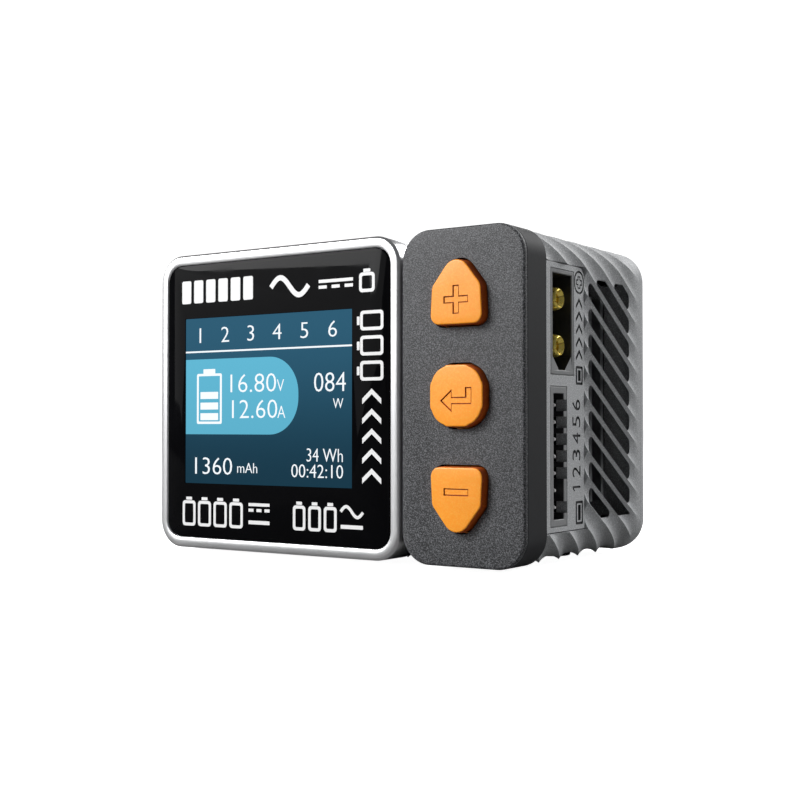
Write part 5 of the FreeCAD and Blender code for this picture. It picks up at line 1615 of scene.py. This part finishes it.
def make_stage(settings):
    scene = bpy.context.scene
    floor_mesh = bpy.data.meshes.new("floor")
    half = 6.0
    floor_mesh.from_pydata([(-half, -half, 0), (half, -half, 0), (half, half, 0),
                            (-half, half, 0)], [], [(0, 1, 2, 3)])
    material, shader = principled("floor_white", Roughness=0.9)
    shader.inputs["Emission Color"].default_value = (1.0, 1.0, 1.0, 1.0)
    tree = material.node_tree
    seen = wire(tree, "ShaderNodeLightPath")
    tone = wire(tree, "ShaderNodeMix", {"data_type": "RGBA"}, i0=seen.outputs["Is Camera Ray"],
                i6=(0.20, 0.20, 0.20, 1.0), i7=(0.9, 0.9, 0.9, 1.0))
    tree.links.new(tone.outputs[2], shader.inputs["Base Color"])
    glow = math_node(tree, "MULTIPLY", seen.outputs["Is Camera Ray"], 0.97)
    tree.links.new(glow, shader.inputs["Emission Strength"])
    floor_mesh.materials.append(material)
    floor = bpy.data.objects.new("floor", floor_mesh)
    scene.collection.objects.link(floor)

    world = bpy.data.worlds.new("studio")
    scene.world = world
    world.use_nodes = True
    tree = world.node_tree
    back = tree.nodes["Background"]
    back.inputs["Color"].default_value = (1.0, 1.0, 1.0, 1.0)
    back.inputs["Strength"].default_value = 1.15
    soft = wire(tree, "ShaderNodeBackground", Color=(0.93, 0.96, 1.0, 1.0), Strength=0.10)
    seen = wire(tree, "ShaderNodeLightPath")
    mixed = wire(tree, "ShaderNodeMixShader", i0=seen.outputs["Is Camera Ray"],
                 i1=soft.outputs[0], i2=back.outputs[0])
    tree.links.new(mixed.outputs[0], tree.nodes["World Output"].inputs[0])

    aim = Vector((0.0, 0.0, 0.025))
    for name, place, size, energy in (
            ("key", (-0.46, -0.55, 0.52), (0.45, 0.35), 7.6),
            ("bounce", (-0.62, -0.80, 0.36), (0.9, 0.55), 4.2),
            ("top", (0.30, 0.62, 0.62), (0.35, 0.35), 4.0),
            ("side", (0.74, 0.50, 0.46), (0.35, 0.4), 3.2),
            ("rim", (-0.35, 0.75, 0.45), (0.3, 0.4), 1.0)):
        data = bpy.data.lights.new(name, "AREA")
        data.shape = "RECTANGLE"
        data.size, data.size_y = size
        data.energy = energy
        light = bpy.data.objects.new(name, data)
        light.location = place
        light.rotation_euler = (aim - Vector(place)).to_track_quat("-Z", "Y").to_euler()
        scene.collection.objects.link(light)

    data = bpy.data.cameras.new("camera")
    data.sensor_width = 36.0
    data.lens = settings.lens
    data.clip_start = 0.01
    camera = bpy.data.objects.new("camera", data)
    camera.location = Vector((settings.side, settings.back, settings.height)) * MM
    camera.rotation_euler = (math.pi / 2 + settings.pitch, 0.0, settings.azimuth)
    scene.collection.objects.link(camera)
    scene.camera = camera
    scene.view_settings.view_transform = "Standard"


# ------------------------------------------------------------------ operators and panel

class CHARGER_OT_housing(bpy.types.Operator):
    """Build the fluted housing with its slots and windows"""
    bl_idname = "charger.housing"
    bl_label = "Housing"

    def execute(self, context):
        make_housing(context.scene.charger_housing)
        return {"FINISHED"}


class CHARGER_OT_keypad(bpy.types.Operator):
    """Build the keypad slab and its faceplate"""
    bl_idname = "charger.keypad"
    bl_label = "Keypad slab"

    def execute(self, context):
        make_keypad(context.scene.charger_keypad)
        return {"FINISHED"}


class CHARGER_OT_caps(bpy.types.Operator):
    """Build the three caps with their sunk signs"""
    bl_idname = "charger.caps"
    bl_label = "Button caps"

    def execute(self, context):
        for kind, outline, node, body in CAPS:
            make_cap(context.scene.charger_keypad, kind, outline, node, body)
        return {"FINISHED"}


class CHARGER_OT_display(bpy.types.Operator):
    """Build the metal bezel and the glass"""
    bl_idname = "charger.display"
    bl_label = "Display bezel and glass"

    def execute(self, context):
        make_bezel(context.scene.charger_display)
        make_glass(context.scene.charger_display)
        return {"FINISHED"}


class CHARGER_OT_screen(bpy.types.Operator):
    """Build the lit screen with its figures and the signs on the glass"""
    bl_idname = "charger.screen"
    bl_label = "Screen and prints"

    def execute(self, context):
        make_screen(context.scene.charger_display)
        make_prints(context.scene.charger_display)
        return {"FINISHED"}


class CHARGER_OT_panels(bpy.types.Operator):
    """Build the two side panels with their sunk marks"""
    bl_idname = "charger.panels"
    bl_label = "Side panels"

    def execute(self, context):
        make_right_panel(context.scene.charger_ports)
        make_left_panel(context.scene.charger_ports)
        return {"FINISHED"}


class CHARGER_OT_sockets(bpy.types.Operator):
    """Build the power sockets, the balance header and the USB port"""
    bl_idname = "charger.sockets"
    bl_label = "Sockets"

    def execute(self, context):
        ports = context.scene.charger_ports
        make_power_socket(ports, 1, "output")
        make_power_socket(ports, -1, "supply")
        make_header(ports)
        make_usb()
        return {"FINISHED"}


class CHARGER_OT_rear(bpy.types.Operator):
    """Finish the rear cover, the mains inlet, the screws and the feet"""
    bl_idname = "charger.rear"
    bl_label = "Rear and feet"

    def execute(self, context):
        make_rear()
        make_feet()
        return {"FINISHED"}


class CHARGER_OT_inside(bpy.types.Operator):
    """Give the parts inside their finishes"""
    bl_idname = "charger.inside"
    bl_label = "Parts inside"

    def execute(self, context):
        paint_inside()
        return {"FINISHED"}


class CHARGER_OT_stage(bpy.types.Operator):
    """Set the floor, the light and the camera"""
    bl_idname = "charger.stage"
    bl_label = "Stage"

    def execute(self, context):
        make_stage(context.scene.charger_stage)
        return {"FINISHED"}


OPERATORS = (CHARGER_OT_stage, CHARGER_OT_housing, CHARGER_OT_keypad, CHARGER_OT_caps,
             CHARGER_OT_display, CHARGER_OT_screen, CHARGER_OT_panels, CHARGER_OT_sockets,
             CHARGER_OT_rear, CHARGER_OT_inside)


class CHARGER_PT_panel(bpy.types.Panel):
    """The charger's builders"""
    bl_idname = "CHARGER_PT_panel"
    bl_label = "Balance charger"
    bl_space_type = "VIEW_3D"
    bl_region_type = "UI"
    bl_category = "Charger"

    def draw(self, context):
        for operator in OPERATORS:
            self.layout.operator(operator.bl_idname)


CLASSES = (*SETTINGS.values(), *OPERATORS, CHARGER_PT_panel)


def register():
    for item in CLASSES:
        bpy.utils.register_class(item)
    for name, group in SETTINGS.items():
        setattr(bpy.types.Scene, name, bpy.props.PointerProperty(type=group))


def unregister():
    for name in SETTINGS:
        delattr(bpy.types.Scene, name)
    for item in reversed(CLASSES):
        bpy.utils.unregister_class(item)


def main():
    register()
    for operator in OPERATORS:
        group, name = operator.bl_idname.split(".")
        getattr(getattr(bpy.ops, group), name)()


if __name__ == "__main__":
    main()
